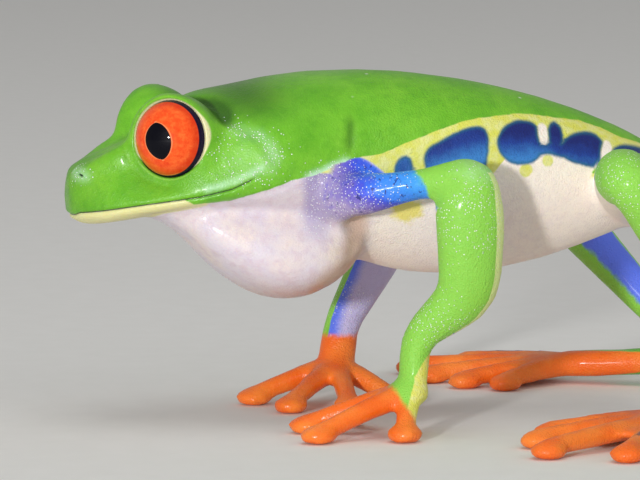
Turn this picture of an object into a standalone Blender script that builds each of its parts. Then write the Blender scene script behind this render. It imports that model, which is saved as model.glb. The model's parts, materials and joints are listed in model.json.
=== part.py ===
"""Red-eyed tree frog (Agalychnis callidryas), an adult male at life size, as a still museum model.

It stands high on its hands and feet with its throat half filled, snout towards -X, its left side towards -Y.
All lengths below are millimetres in a working frame: x runs back from the snout's tip, y to the frog's right,
and z up from the floor. The finished model's origin is the bottom centre of its bounding box.

The flesh is modelled whole, from lofts and swept tubes that a voxel remesh joins, and is then parted at the
joints by thin cuts. Each length between two cuts becomes one named object.
The eyeballs are turned separately.
"""

import math

import bmesh
import bpy
import numpy as np
from mathutils import Matrix, Vector

MM = 0.001
SKEW = Vector((0.31, 0.17, 0.94)).normalized()  # a direction that meets no edge head on

# Driving sizes
VOXEL = 0.2  # cell of the remesh that joins the flesh
CUT = 0.25  # width of the thin cut between two neighbouring parts
TRIANGLES = 5000  # of the whole flesh, before it is cut
RING_SIDES = 48
BODY_RINGS = 60
TUBE_SIDES = 24
STEPS_PER_SPAN = 8

# Head and trunk, as stations from the snout (x = 0) to the vent: (x, height or half width)
BACK_LINE = [(0.3, 19.7), (0.9, 20.75), (2.4, 21.6), (4.7, 22.6), (6.8, 23.9), (8.4, 25.3), (10.0, 26.4),
             (11.6, 26.8), (13.5, 27.1), (17, 27.75), (23.5, 28.2), (30, 27.7), (36, 26.6), (42, 24.8),
             (47, 22.6), (50, 20.7), (51.6, 19)]
BELLY_LINE = [(0.3, 17.6), (0.9, 16.6), (2.2, 16.3), (4.5, 16.6), (7.5, 17.1), (10.5, 17.6), (14, 17.5),
              (19, 15.6), (24, 13.0), (28, 11.9), (32, 11.7), (36, 12.1), (40, 13), (44, 14.4), (47, 15.6),
              (50, 17), (51.6, 18)]
HALF_WIDTH = [(0.3, 1.2), (0.9, 2.5), (2.3, 4.0), (4.5, 5.5), (7.5, 6.9), (10.5, 7.9), (13.5, 8.5),
              (16.5, 8.6), (19.5, 8.0), (23, 7.5), (27, 7.6), (31, 7.7), (35, 7.3), (39, 6.5), (43, 5.6),
              (47, 4.6), (50, 3.3), (51.6, 1.8)]
WIDEST_AT = [(0.3, 18.2), (2.2, 17.2), (4.5, 17.5), (7.5, 18.1), (10.5, 18.8), (13.5, 19.6), (17, 20.4),
             (24, 20.6), (30, 20.1), (36, 19.6), (42, 19.2), (51.6, 18.5)]
UPPER_FULLNESS = [(0.3, 2.0), (4.5, 1.85), (10, 2.0), (17, 2.3), (24, 2.35), (42, 2.1), (51.6, 2.0)]
LOWER_FULLNESS = [(0.3, 2.1), (2.2, 1.9), (7.5, 1.9), (13, 2.3), (20, 2.0), (51.6, 2.0)]

# The half-filled vocal sac under the throat
SAC_BOTTOM = [(5.6, 17.4), (7.7, 16.5), (9, 15.7), (10.2, 14.6), (11.4, 13.3), (12.7, 12.1), (14.3, 11.0),
              (16.1, 10.2), (18, 9.95), (20.1, 10.4), (22.1, 11.6), (23.6, 13.4), (24.4, 15.6)]
SAC_HALF_WIDTH = [(5.6, 1.6), (7.7, 4.0), (10.2, 6.0), (14.3, 7.5), (18, 7.8), (21, 7.2), (23.6, 5.2),
                  (24.4, 3.0)]
SAC_TOP = [(5.6, 18.4), (12, 20), (24.4, 19)]

# The eyes, given for the right one; the left is its mirror image in y
EYE_CENTRE = Vector((8.42, 5.15, 23.36))
EYE_AXIS = Vector((-0.595, 0.803, 0.06)).normalized()
LIDS_CENTRE = Vector((8.28, 5.15, 23.24))  # the round bulge of the lids, a little larger than the ball
EYEBALL = 3.18
SOCKET = 3.44
LID = 3.86
EYE_SIDES = 22
RIM_OUT = 0.9  # how far out along the eye's axis the lids' rim lies
CANTHUS = [(1.8, 1.8, 20.4, 0.7), (3.6, 2.7, 21.4, 0.85), (5.6, 3.7, 22.4, 1.1)]

# Limbs, from inside the trunk outwards: (x, y, z, radius across, radius deep). The second radius lies along
# the tube's own deep direction, which is x for an arm and z for a leg.
LEFT_ARM = [(20.6, -5.6, 18.6, 2.3, 2.2), (22.6, -9.2, 19.0, 1.7, 1.7), (26.8, -11.4, 19.95, 1.15, 1.35),
            (30.2, -12.9, 20.25, 1.85, 2.0), (30.4, -13.2, 18.2, 2.1, 2.7), (30.5, -13.1, 15.0, 2.1, 2.6),
            (30.2, -12.4, 11.3, 1.9, 2.3), (26.95, -11.0, 7.9, 1.4, 1.3), (26.4, -10.9, 4.6, 1.45, 1.1)]
RIGHT_ARM = [(20.6, 5.6, 18.6, 2.3, 2.2), (22.6, 9.2, 18.5, 1.75, 1.7), (26.2, 11.6, 18.0, 1.45, 1.45),
             (29.4, 13.2, 17.4, 1.95, 1.8), (30.0, 13.4, 15.8, 2.3, 2.0), (28.6, 12.8, 12.2, 2.4, 2.0),
             (26.6, 11.6, 9.0, 1.9, 1.7), (25.0, 10.6, 6.4, 1.5, 1.45), (24.3, 9.6, 3.6, 1.4, 1.5)]
LEFT_LEG = [(47.0, -2.5, 18.2, 3.0, 3.0), (44.6, -9.0, 19.2, 2.75, 2.75), (42.4, -15.5, 20.2, 2.45, 2.45),
            (40.7, -21.4, 21.2, 2.1, 2.1), (41.6, -22.8, 20.0, 1.95, 1.95), (45.6, -20.2, 15.2, 2.15, 2.15),
            (51.0, -16.0, 8.6, 1.6, 1.6), (54.8, -13.0, 3.9, 1.2, 1.2), (54.4, -13.0, 2.6, 1.25, 1.2),
            (51.4, -14.7, 2.0, 1.15, 1.1), (46.0, -17.5, 1.6, 1.5, 1.1)]
RIGHT_LEG = [(x, -y, z, across, deep) for x, y, z, across, deep in LEFT_LEG]
# Where the thin cuts cross each limb: (place along the path, counted in its points, radius, facing).
# A cut with no facing of its own halves the bend there.
ARM_CUTS = [(0.95, 2.6, (0.45, 0.89, 0.05)), (3.15, 3.4, (0.55, 0.25, -0.8)), (7.2, 2.4, None)]
LEG_CUTS = [(0.95, 4.1, (-0.2, 0.98, 0.1)), (3.5, 4.4, None), (7.5, 2.6, None)]
# The planes that part head, vocal sac and trunk: two ends (x, z) seen from the side, and a half width
HEAD_CUTS = [((18.3, 20.1), (18.3, 32.0), 12.0), ((6.5, 17.2), (18.3, 20.3), 10.0),
             ((5.9, 15.6), (6.6, 17.4), 10.0), ((18.2, 20.4), (25.0, 11.0), 9.5)]

# Fingers and toes fan out from a knuckle: each digit's heading in degrees, 0 straight ahead and positive away
# from the body, and its reach, the level distance from the knuckle to the pad's centre
DIGIT = 0.84
PAD = 1.45
PAD_THICK = 0.72
WEB_THICK = 0.55
LEFT_FINGERS = [(-59, 7.2), (-20, 8.2), (20, 8.4), (72, 3.6)]
RIGHT_FINGERS = [(-131, 6.2), (-88, 7.0), (-50, 7.6), (-4, 7.0)]
TOES = [(-32, 7.6), (-12, 9.7), (10, 11.7), (32, 14.2), (58, 12.3)]
LEFT_PALM = Vector((26.1, -11.0, 3.5))
RIGHT_PALM = Vector((24.2, 9.4, 3.0))
PALM_RADII = (1.5, 2.0, 1.2)
INSTEP_RADII = (2.4, 1.7, 0.95)
FINGER_WEB = 0.42  # the share of a digit's length that web joins to its neighbour
TOE_WEB = 0.6

# Colours, as linear red, green and blue
GREEN = (0.21, 0.45, 0.05, 1)
BLUE = (0.07, 0.13, 0.42, 1)
SAC_SKIN = (0.66, 0.58, 0.62, 1)
ORANGE = (0.80, 0.26, 0.04, 1)
EYE_RED = (0.70, 0.05, 0.012, 1)


def curve_through(rows, x):
    """Values at x on a smooth cubic curve through rows of (station, value, ...)."""
    rows = np.asarray(rows, float)
    at, values = rows[:, 0], rows[:, 1:]
    slopes = np.gradient(values, at, axis=0)
    i = int(np.clip(np.searchsorted(at, x) - 1, 0, len(at) - 2))
    step = at[i + 1] - at[i]
    t = (np.clip(x, at[0], at[-1]) - at[i]) / step
    near = (1 + 2 * t) * (1 - t) ** 2 * values[i] + t * (1 - t) ** 2 * step * slopes[i]
    far = t * t * (3 - 2 * t) * values[i + 1] - t * t * (1 - t) * step * slopes[i + 1]
    return near + far


def value(rows, x):
    return float(curve_through(rows, x)[0])


def loft(rings, bm):
    """Closed tube through rings of equal length, with a fan at each end."""
    made = [[bm.verts.new(Vector(p) * MM) for p in ring] for ring in rings]
    sides = len(made[0])
    for one, two in zip(made, made[1:]):
        for k in range(sides):
            n = (k + 1) % sides
            bm.faces.new((one[k], one[n], two[n], two[k]))
    bm.faces.new(reversed(made[0]))
    bm.faces.new(made[-1])


def new_object(name, bm):
    bmesh.ops.recalc_face_normals(bm, faces=bm.faces)
    mesh = bpy.data.meshes.new(name)
    bm.to_mesh(mesh)
    bm.free()
    made = bpy.data.objects.new(name, mesh)
    bpy.context.scene.collection.objects.link(made)
    return made


def signed_power(number, power):
    return math.copysign(abs(number) ** power, number)


def section(x, top, bottom, half_width, widest, upper, lower):
    """One level ring across the body: a superellipse above its widest line and another below it."""
    ring = []
    for k in range(RING_SIDES):
        angle = 2 * math.pi * k / RING_SIDES
        up, out = math.cos(angle), math.sin(angle)
        fullness = upper if up > 0 else lower
        height = top - widest if up > 0 else widest - bottom
        ring.append((x, half_width * signed_power(out, 2 / fullness),
                     widest + height * signed_power(up, 2 / fullness)))
    return ring


def head_and_trunk():
    """One closed form from the snout to the vent."""
    bm = bmesh.new()
    snout, vent = BACK_LINE[0][0], BACK_LINE[-1][0]
    rings = []
    for k in range(BODY_RINGS + 1):
        x = snout + (vent - snout) * (1 - math.cos(math.pi * k / BODY_RINGS)) / 2
        rings.append(section(x, value(BACK_LINE, x), value(BELLY_LINE, x), value(HALF_WIDTH, x),
                             value(WIDEST_AT, x), value(UPPER_FULLNESS, x), value(LOWER_FULLNESS, x)))
    loft(rings, bm)
    return new_object("head_and_trunk", bm)


def vocal_sac():
    """The half-filled bag of skin under the jaw."""
    bm = bmesh.new()
    first, last = SAC_BOTTOM[0][0], SAC_BOTTOM[-1][0]
    rings = []
    for k in range(BODY_RINGS // 2 + 1):
        x = first + (last - first) * k / (BODY_RINGS // 2)
        top, bottom = value(SAC_TOP, x), value(SAC_BOTTOM, x)
        rings.append(section(x, top, bottom, value(SAC_HALF_WIDTH, x), (top + 2 * bottom) / 3, 2.0, 2.0))
    loft(rings, bm)
    return new_object("sac", bm)


def along(path, place):
    """(point, direction, radii) at a place along a path, counted in its points."""
    rows = [(k, *row) for k, row in enumerate(path)]
    here = curve_through(rows, place)
    ahead, behind = curve_through(rows, place + 0.05), curve_through(rows, place - 0.05)
    return Vector(here[:3]), Vector((ahead - behind)[:3]).normalized(), here[3:].tolist()


def swept(name, path, deep):
    """Tube along a smooth path of (x, y, z, radius across, radius deep), rounded at both ends."""
    bm = bmesh.new()
    last = len(path) - 1
    stations = [k / STEPS_PER_SPAN for k in range(last * STEPS_PER_SPAN + 1)]
    rings = []

    def ring(centre, direction, radii, share):
        across = direction.cross(deep).normalized()
        depth = across.cross(direction).normalized()
        return [centre + share * (radii[0] * math.cos(a) * across + radii[1] * math.sin(a) * depth)
                for a in (2 * math.pi * k / TUBE_SIDES for k in range(TUBE_SIDES))]

    for end, order in ((0, (80, 60, 40, 20)), (last, (20, 40, 60, 80))):
        centre, direction, radii = along(path, end)
        outwards = -direction if end == 0 else direction
        caps = []
        for degrees in order:
            bulge = min(radii) * math.sin(math.radians(degrees))
            caps.append(ring(centre + outwards * bulge, direction, radii, math.cos(math.radians(degrees))))
        if end == 0:
            rings = caps + [ring(*along(path, s), 1.0) for s in stations]
        else:
            rings += caps
    loft(rings, bm)
    return new_object(name, bm)


def ellipsoid(name, centre, radii, turn=0.0, segments=32):
    """Ball squeezed to three radii, turned about the upright axis."""
    bm = bmesh.new()
    place = Matrix.Translation(Vector(centre) * MM) @ Matrix.Rotation(turn, 4, "Z")
    place = place @ Matrix.Diagonal([*(r * MM for r in radii), 1.0])
    bmesh.ops.create_uvsphere(bm, u_segments=segments, v_segments=segments // 2, radius=1.0, matrix=place)
    return new_object(name, bm)


def heading_vector(heading, side):
    """Level direction of a digit. side is -1 on the left and 1 on the right."""
    turn = math.radians(heading)
    return Vector((-math.cos(turn), side * math.sin(turn), 0.0))


def digit_path(knuckle, heading, reach, side, arch):
    """Points from the knuckle to behind the pad. arch lifts the middle of the digit."""
    ahead = heading_vector(heading, side)
    path = []
    floor_level = PAD_THICK + 0.12
    for share in (0.0, 0.3, 0.6, 0.85, 1.0):
        spot = knuckle + ahead * (reach * share)
        height = floor_level + (knuckle.z - floor_level) * (1 - share) ** 1.6
        height += arch * math.sin(math.pi * share)
        width = DIGIT * (1.15 - 0.3 * share)
        path.append((spot.x, spot.y, height, width, width))
    return path


def digits(kind, knuckle, fan, side, arch):
    """The digits of one hand or foot with their pads, and the paths that they follow."""
    pieces, paths = [], []
    for number, (heading, reach) in enumerate(fan, 1):
        path = digit_path(knuckle, heading, reach, side, arch)
        ahead = heading_vector(heading, side)
        paths.append(path)
        pieces.append(swept(f"{kind}_{number}", path, Vector((0, 0, 1))))
        turn = math.atan2(ahead.y, ahead.x)
        pad = knuckle + ahead * reach
        pieces.append(ellipsoid(f"{kind}_{number}_pad", (pad.x, pad.y, PAD_THICK * 0.85),
                                (PAD * 1.05, PAD, PAD_THICK), turn))
    return pieces, paths


def web(name, first, second, share, hollow):
    """Skin between two digits, out to a share of their length, its edge hollowed between them."""
    bm = bmesh.new()
    rows, columns = 8, 8
    last = len(first) - 1
    layers = []
    for lift in (-WEB_THICK / 2, WEB_THICK / 2):
        layer = []
        for r in range(rows + 1):
            row = []
            for c in range(columns + 1):
                t = c / columns
                reach = share * (r / rows) * (1 - hollow * math.sin(math.pi * t)) * last
                one, two = along(first, reach)[0], along(second, reach)[0]
                spot = one.lerp(two, t)
                row.append(bm.verts.new((spot + Vector((0, 0, lift))) * MM))
            layer.append(row)
        layers.append(layer)
    low, high = layers
    for r in range(rows):
        for c in range(columns):
            if r == 0:
                continue
            bm.faces.new((low[r][c], low[r + 1][c], low[r + 1][c + 1], low[r][c + 1]))
            bm.faces.new((high[r][c], high[r][c + 1], high[r + 1][c + 1], high[r + 1][c]))
    border = [(1, c) for c in range(columns)] + [(r, columns) for r in range(1, rows)]
    border += [(rows, c) for c in range(columns, 0, -1)] + [(r, 0) for r in range(rows, 1, -1)]
    for k, (r, c) in enumerate(border):
        r2, c2 = border[(k + 1) % len(border)]
        bm.faces.new((low[r][c], low[r2][c2], high[r2][c2], high[r][c]))
    bmesh.ops.delete(bm, geom=[v for v in bm.verts if not v.link_faces], context="VERTS")
    return new_object(name, bm)


def evaluated(obj):
    """Replace an object's mesh by what its modifiers make of it."""
    mesh = bpy.data.meshes.new_from_object(obj.evaluated_get(bpy.context.evaluated_depsgraph_get()))
    obj.modifiers.clear()
    obj.data = mesh


def weigh(obj, name, weight_at):
    """Vertex group whose weights come from a function of the place in millimetres."""
    group = obj.vertex_groups.new(name=name)
    for vertex in obj.data.vertices:
        group.add([vertex.index], weight_at(vertex.co / MM), "REPLACE")


def smooth_rise(low, high, number):
    t = min(max((number - low) / (high - low), 0.0), 1.0)
    return t * t * (3 - 2 * t)


def rest_on_floor(obj):
    """Flatten whatever reaches below the floor."""
    for vertex in obj.data.vertices:
        vertex.co.z = max(vertex.co.z, 0.0)


def join_flesh(pieces):
    """One closed skin around all the pieces, smoothed and with few triangles."""
    bm = bmesh.new()
    for piece in pieces:
        bm.from_mesh(piece.data)
        bpy.data.objects.remove(piece)
    flesh = new_object("flesh", bm)
    remesh = flesh.modifiers.new("Join", "REMESH")
    remesh.mode = "VOXEL"
    remesh.voxel_size = VOXEL * MM
    evaluated(flesh)
    weigh(flesh, "broad", lambda p: smooth_rise(4.5, 9.0, p.z))
    soften = flesh.modifiers.new("Soften", "SMOOTH")
    soften.factor = 0.5
    soften.iterations = 6
    blend = flesh.modifiers.new("Blend", "SMOOTH")
    blend.factor = 0.5
    blend.iterations = 40
    blend.vertex_group = "broad"
    evaluated(flesh)
    rest_on_floor(flesh)
    flesh.vertex_groups.clear()
    thin = flesh.modifiers.new("Thin out", "DECIMATE")
    thin.ratio = TRIANGLES / sum(len(face.vertices) - 2 for face in flesh.data.polygons)
    thin.use_collapse_triangulate = True
    evaluated(flesh)
    rest_on_floor(flesh)
    return flesh


def cut_away(flesh, cutter):
    """Subtract a closed cutter from the flesh."""
    boolean = flesh.modifiers.new("Cut", "BOOLEAN")
    boolean.operation = "DIFFERENCE"
    boolean.solver = "EXACT"
    boolean.object = cutter
    evaluated(flesh)
    bpy.data.objects.remove(cutter)


def upright_to(direction):
    return direction.to_track_quat("Z", "Y").to_matrix().to_4x4()


def disc(centre, direction, radius, thickness, name="cut"):
    """Round slab centred on a point (millimetres), facing along a direction."""
    bm = bmesh.new()
    place = Matrix.Translation(centre * MM) @ upright_to(direction)
    bmesh.ops.create_cone(bm, cap_ends=True, cap_tris=False, segments=24, radius1=radius * MM,
                          radius2=radius * MM, depth=thickness * MM, matrix=place)
    return new_object(name, bm)


def side_view_slab(start, end, half_width):
    """Thin slab across the body through a line that is given in side view."""
    bm = bmesh.new()
    run = Vector((end[0] - start[0], 0, end[1] - start[1]))
    middle = Vector(((start[0] + end[0]) / 2, 0, (start[1] + end[1]) / 2))
    place = Matrix.Translation(middle * MM) @ Matrix.Rotation(math.atan2(run.x, run.z), 4, "Y")
    sizes = Matrix.Diagonal((CUT * MM, 2 * half_width * MM, run.length * MM, 1))
    bmesh.ops.create_cube(bm, size=1.0, matrix=place @ sizes)
    return new_object("cut", bm)


def mirrored(vector, side):
    return Vector((vector.x, side * vector.y, vector.z))


def limb_cut(path, place, radius, facing=None):
    """Thin disc across a limb."""
    centre = along(path, place)[0]
    if facing is None:
        facing = along(path, place - 1.1)[1] + along(path, place + 1.1)[1]
    return disc(centre, facing.normalized(), radius, CUT)


def make_flesh():
    """The whole frog but its eyeballs, and for each part a point inside it."""
    pieces = [head_and_trunk(), vocal_sac()]
    inside = {"head": Vector((12, 0, 21.5)), "trunk": Vector((30, 0, 20)), "vocal_sac": Vector((15, 0, 14))}
    cuts = []
    limbs = [(-1, "left", LEFT_ARM, LEFT_LEG, LEFT_PALM, LEFT_FINGERS),
             (1, "right", RIGHT_ARM, RIGHT_LEG, RIGHT_PALM, RIGHT_FINGERS)]
    for side, word, arm, leg, palm, fingers in limbs:
        pieces.append(ellipsoid("lids", mirrored(LIDS_CENTRE, side), (LID, LID, LID)))
        pieces.append(swept("canthus", [(x, side * y, z, r, r) for x, y, z, r in CANTHUS], Vector((0, 0, 1))))
        pieces.append(swept("arm", arm, Vector((1, 0, 0))))
        pieces.append(swept("leg", leg, Vector((0, 0, 1))))
        pieces.append(ellipsoid("palm", palm, PALM_RADII))
        instep = Vector(leg[-1][:3])
        pieces.append(ellipsoid("instep", instep + Vector((-0.6, 0, 0)), INSTEP_RADII,
                                math.radians(-side * 20)))
        for limb, rows in ((arm, ARM_CUTS), (leg, LEG_CUTS)):
            for place, radius, facing in rows:
                cuts.append(limb_cut(limb, place, radius, facing and mirrored(Vector(facing), side)))
        inside[f"upper_arm_{word}"] = along(arm, 2)[0]
        inside[f"forearm_{word}"] = along(arm, 5)[0]
        inside[f"hand_{word}"] = palm
        inside[f"thigh_{word}"] = along(leg, 2)[0]
        inside[f"shank_{word}"] = along(leg, 5)[0]
        inside[f"foot_{word}"] = instep
        for kind, knuckle, fan, reach, arch in (("finger", palm, fingers, FINGER_WEB, 0.5),
                                                ("toe", instep, TOES, TOE_WEB, 0.25)):
            made, paths = digits(kind, knuckle, fan, side, arch)
            pieces += made
            for one, two in zip(paths, paths[1:]):
                pieces.append(web("web", one, two, reach, 0.22))
            for number, path in enumerate(paths, 1):
                cuts.append(limb_cut(path, (reach + 0.09) * (len(path) - 1), 1.35, None))
                inside[f"{kind}_{word}_{number}"] = Vector(path[-1][:3])
    return join_flesh(pieces), cuts, inside


def cut_sockets(flesh):
    """Hollow each lid ball for its eyeball and open it along the rim."""
    for side in (-1, 1):
        eye, axis = mirrored(EYE_CENTRE, side), mirrored(EYE_AXIS, side)
        cut_away(flesh, ellipsoid("socket", eye, (SOCKET, SOCKET, SOCKET), segments=EYE_SIDES))
        cut_away(flesh, disc(eye + axis * (RIM_OUT + 2), axis, LID + 0.3, 4, "opening"))


def part_flesh(flesh, cuts, inside):
    """Cut the flesh through, and name each loose piece after the point that lies inside it."""
    for start, end, half_width in HEAD_CUTS:
        cut_away(flesh, side_view_slab(start, end, half_width))
    for cutter in cuts:
        cut_away(flesh, cutter)
    bm = bmesh.new()
    bm.from_mesh(flesh.data)
    bpy.data.objects.remove(flesh)
    pieces = []
    left = set(bm.verts)
    while left:
        group, edge = set(), [left.pop()]
        while edge:
            vertex = edge.pop()
            group.add(vertex)
            near = {e.other_vert(vertex) for e in vertex.link_edges} & left
            left -= near
            edge += near
        pieces.append(group)
    parts = []
    for group in pieces:
        piece = bm.copy()
        keep = {v.index for v in group}
        piece.verts.ensure_lookup_table()
        bmesh.ops.delete(piece, geom=[v for v in piece.verts if v.index not in keep], context="VERTS")
        parts.append(new_object("piece", piece))
    bm.free()
    for name, point in inside.items():
        for part in parts:
            hit, spot, normal, _ = part.ray_cast(point * MM, SKEW)
            if hit and normal.dot(SKEW) > 0:
                part.name = name
    return parts


def eyeball(name, side):
    """Turned ball with its pole along the eye's axis."""
    bm = bmesh.new()
    axis = mirrored(EYE_AXIS, side)
    place = Matrix.Translation(mirrored(EYE_CENTRE, side) * MM) @ upright_to(axis)
    bmesh.ops.create_uvsphere(bm, u_segments=EYE_SIDES, v_segments=EYE_SIDES // 2, radius=EYEBALL * MM,
                              matrix=place)
    return new_object(name, bm)


def paint(obj, colour, roughness):
    material = bpy.data.materials.new(obj.name + "_skin")
    material.use_nodes = True
    shader = material.node_tree.nodes["Principled BSDF"]
    shader.inputs["Base Color"].default_value = colour
    shader.inputs["Roughness"].default_value = roughness
    shader.inputs["Metallic"].default_value = 0.0
    obj.data.materials.clear()
    obj.data.materials.append(material)


def colour_of(name):
    if name.startswith("eye"):
        return EYE_RED, 0.05
    if name.startswith(("finger", "toe", "hand", "foot")):
        return ORANGE, 0.35
    if name.startswith(("upper_arm", "thigh")):
        return BLUE, 0.4
    if name == "vocal_sac":
        return SAC_SKIN, 0.45
    return GREEN, 0.4


def centre_on_floor(parts):
    """Move the model so that its origin is the bottom centre of its bounding box."""
    points = np.array([tuple(v.co) for part in parts for v in part.data.vertices])
    low, high = points.min(axis=0), points.max(axis=0)
    shift = Vector((-(low[0] + high[0]) / 2, -(low[1] + high[1]) / 2, -low[2]))
    print("box mm", (high - low) / MM, "shift mm", shift / MM)
    for part in parts:
        part.data.transform(Matrix.Translation(shift))


def build():
    for old in list(bpy.data.objects):
        bpy.data.objects.remove(old)
    flesh, cuts, inside = make_flesh()
    print("flesh faces", len(flesh.data.polygons))
    cut_sockets(flesh)
    parts = part_flesh(flesh, cuts, inside)
    parts += [eyeball("eye_left", -1), eyeball("eye_right", 1)]
    centre_on_floor(parts)
    for part in parts:
        paint(part, *colour_of(part.name))
        part.data.shade_smooth()
        part.data.set_sharp_from_angle(angle=math.radians(50))
        print(part.name, len(part.data.polygons), sum(len(f.vertices) - 2 for f in part.data.polygons))


build()
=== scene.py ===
# %% [markdown]
# # A red-eyed tree frog, life size
#
# This file dresses the plain solids of a small tree frog as a museum model. The solids already have its
# right outline and stand where they should. What they lack is one whole skin, the eyes, and the colours:
# leaf green above, blue flanks with yellow bars, orange hands and feet, a pale throat. We load the solids
# first, and their boxes give places and sizes later.

# %% Load the solids
import functools
import json
import math

import bmesh
import bpy
import numpy as np
from mathutils import Matrix, Vector
from mathutils.bvhtree import BVHTree

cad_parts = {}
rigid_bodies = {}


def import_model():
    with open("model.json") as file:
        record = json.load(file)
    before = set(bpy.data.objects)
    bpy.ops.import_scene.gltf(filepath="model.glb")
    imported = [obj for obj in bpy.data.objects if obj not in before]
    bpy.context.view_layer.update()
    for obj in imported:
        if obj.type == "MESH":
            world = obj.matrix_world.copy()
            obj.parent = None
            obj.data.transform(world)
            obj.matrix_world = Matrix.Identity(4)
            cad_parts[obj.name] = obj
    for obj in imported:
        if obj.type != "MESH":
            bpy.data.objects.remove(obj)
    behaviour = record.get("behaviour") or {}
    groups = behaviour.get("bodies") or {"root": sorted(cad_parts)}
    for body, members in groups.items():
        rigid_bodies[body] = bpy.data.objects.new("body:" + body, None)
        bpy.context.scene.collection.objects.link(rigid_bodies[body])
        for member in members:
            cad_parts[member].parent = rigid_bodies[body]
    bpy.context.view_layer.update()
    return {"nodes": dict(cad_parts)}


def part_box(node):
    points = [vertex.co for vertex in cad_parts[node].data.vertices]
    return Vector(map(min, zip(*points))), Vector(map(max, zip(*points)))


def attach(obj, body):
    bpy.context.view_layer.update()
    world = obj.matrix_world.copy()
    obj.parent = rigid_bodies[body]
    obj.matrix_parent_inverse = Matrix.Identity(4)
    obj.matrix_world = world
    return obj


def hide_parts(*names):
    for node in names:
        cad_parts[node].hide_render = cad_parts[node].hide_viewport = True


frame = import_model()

MM = 0.001

# %% [markdown]
# ## Where things are
#
# A frog's parts are easiest to place in millimetres counted from its snout: x runs back along the body, y
# to its right side, z up from the floor. The snout's tip in the solids gives the start of x. Every function
# below that shapes or colours the frog works in these millimetres, on whole arrays of points at once,
# because a skin has tens of thousands of them.

# %% Millimetres from the snout
SNOUT_GAP = 0.30  # the snout's rounded tip starts this far behind x = 0
x_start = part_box("head")[0].x - SNOUT_GAP * MM


def to_world(x, y, z):
    """A point given in millimetres from the snout, in metres in the scene."""
    return Vector((x_start + x * MM, y * MM, z * MM))


def from_snout(mesh):
    """All vertices of a mesh in millimetres from the snout, one row each."""
    flat = np.empty(len(mesh.vertices) * 3)
    mesh.vertices.foreach_get("co", flat)
    places = flat.reshape(-1, 3) / MM
    places[:, 0] -= x_start / MM
    return places


def put_back(mesh, places):
    """Write millimetres from the snout into the mesh."""
    world = places.copy()
    world[:, 0] += x_start / MM
    mesh.vertices.foreach_set("co", (world * MM).ravel())
    mesh.update()


def normals_of(mesh):
    """All vertex normals of a mesh, one row each."""
    flat = np.empty(len(mesh.vertices) * 3)
    mesh.vertices.foreach_get("normal", flat)
    return flat.reshape(-1, 3)


print("x starts", round(x_start / MM, 2), "mm from the middle of the scene")

# %% [markdown]
# Three more helpers are needed all the way through: a smooth step between two numbers, the height of a drawn
# line, and a way to apply modifiers, so that the next step works on the changed mesh.

# %% Steps, lines and modifiers
def ease(low, high, numbers):
    """0 below low, 1 above high, and a smooth rise between."""
    share = np.clip((numbers - low) / (high - low), 0.0, 1.0)
    return share * share * (3 - 2 * share)


def line(points, x):
    """Height of a line through (x, z) points."""
    rows = np.array(points, float)
    return np.interp(x, rows[:, 0], rows[:, 1])


def apply_all(thing):
    """Apply an object's modifiers in order."""
    for other in bpy.context.view_layer.objects:
        other.select_set(other == thing)
    bpy.context.view_layer.objects.active = thing
    for modifier in list(thing.modifiers):
        bpy.ops.object.modifier_apply(modifier=modifier.name)


print("a smooth step's first quarter rises to", round(float(ease(0, 1, 0.25)), 2))

# %% [markdown]
# The eyes among the solids are plain balls. The box of one gives the place and the radius of the finished
# eyes, and the gaze is a direction that points forwards, outwards and a little up. The two eyes mirror each
# other, so one place and one gaze, given for the right side, do for both.

# %% Place of the eyes
left_eye_low, left_eye_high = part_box("eye_left")
eye_middle = (left_eye_low + left_eye_high) / 2
EYE = Vector(((eye_middle.x - x_start) / MM, -eye_middle.y / MM, eye_middle.z / MM))
BALL = (left_eye_high.z - left_eye_low.z) / 2 / MM
GAZE = Vector((-0.595, 0.803, 0.06)).normalized()
print("eye at", [round(v, 2) for v in EYE], "mm, radius", round(BALL, 2), "mm")

# %% [markdown]
# ## One skin over all the solids
#
# The solids are parted at the joints by thin cuts, and a real frog has no such gaps. A skin could be
# modelled from nothing, but then it would have to be fitted again to every solid. Instead we copy the
# solids, weld the copies, and close each cut with a plug: the convex hull of the two faces that look at
# each other across it. A voxel remesh then melts everything into one even skin.

# %% Copy and weld the solids
flesh_names = [name for name in sorted(frame["nodes"]) if not name.startswith("eye_")]
welded = {}
for name in flesh_names:
    bm = bmesh.new()
    bm.from_mesh(frame["nodes"][name].data)
    bmesh.ops.remove_doubles(bm, verts=bm.verts, dist=0.002 * MM)
    welded[name] = bm
print("copied", len(welded), "solids")

# %% Plug the cuts
CUT_REACH = 0.34 * MM  # a little more than a cut is wide


def pour(part, whole):
    """Add one loose mesh to another."""
    carrier = bpy.data.meshes.new("carrier")
    part.to_mesh(carrier)
    part.free()
    whole.from_mesh(carrier)
    bpy.data.meshes.remove(carrier)


def facing_points(one, other_tree):
    """The points of one solid that lie just across a cut from another."""
    return [v.co.copy() for v in one.verts if other_tree.find_nearest(v.co, CUT_REACH)[0] is not None]


trees = {name: BVHTree.FromBMesh(bm) for name, bm in welded.items()}
plugs = bmesh.new()
plug_count = 0
for i, one in enumerate(flesh_names):
    for other in flesh_names[i + 1:]:
        rim = facing_points(welded[one], trees[other]) + facing_points(welded[other], trees[one])
        if len(rim) < 6:
            continue
        hull = bmesh.new()
        for point in rim:
            hull.verts.new(point)
        bmesh.ops.convex_hull(hull, input=hull.verts)
        bmesh.ops.delete(hull, geom=[v for v in hull.verts if not v.link_faces], context="VERTS")
        pour(hull, plugs)
        plug_count += 1
print("plugs between neighbours:", plug_count)

# %% [markdown]
# The eyes get their sockets later, so for now a ball of flesh fills each one. Then the remesh runs with
# small voxels, and closed hollows inside the body are dropped.

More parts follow.
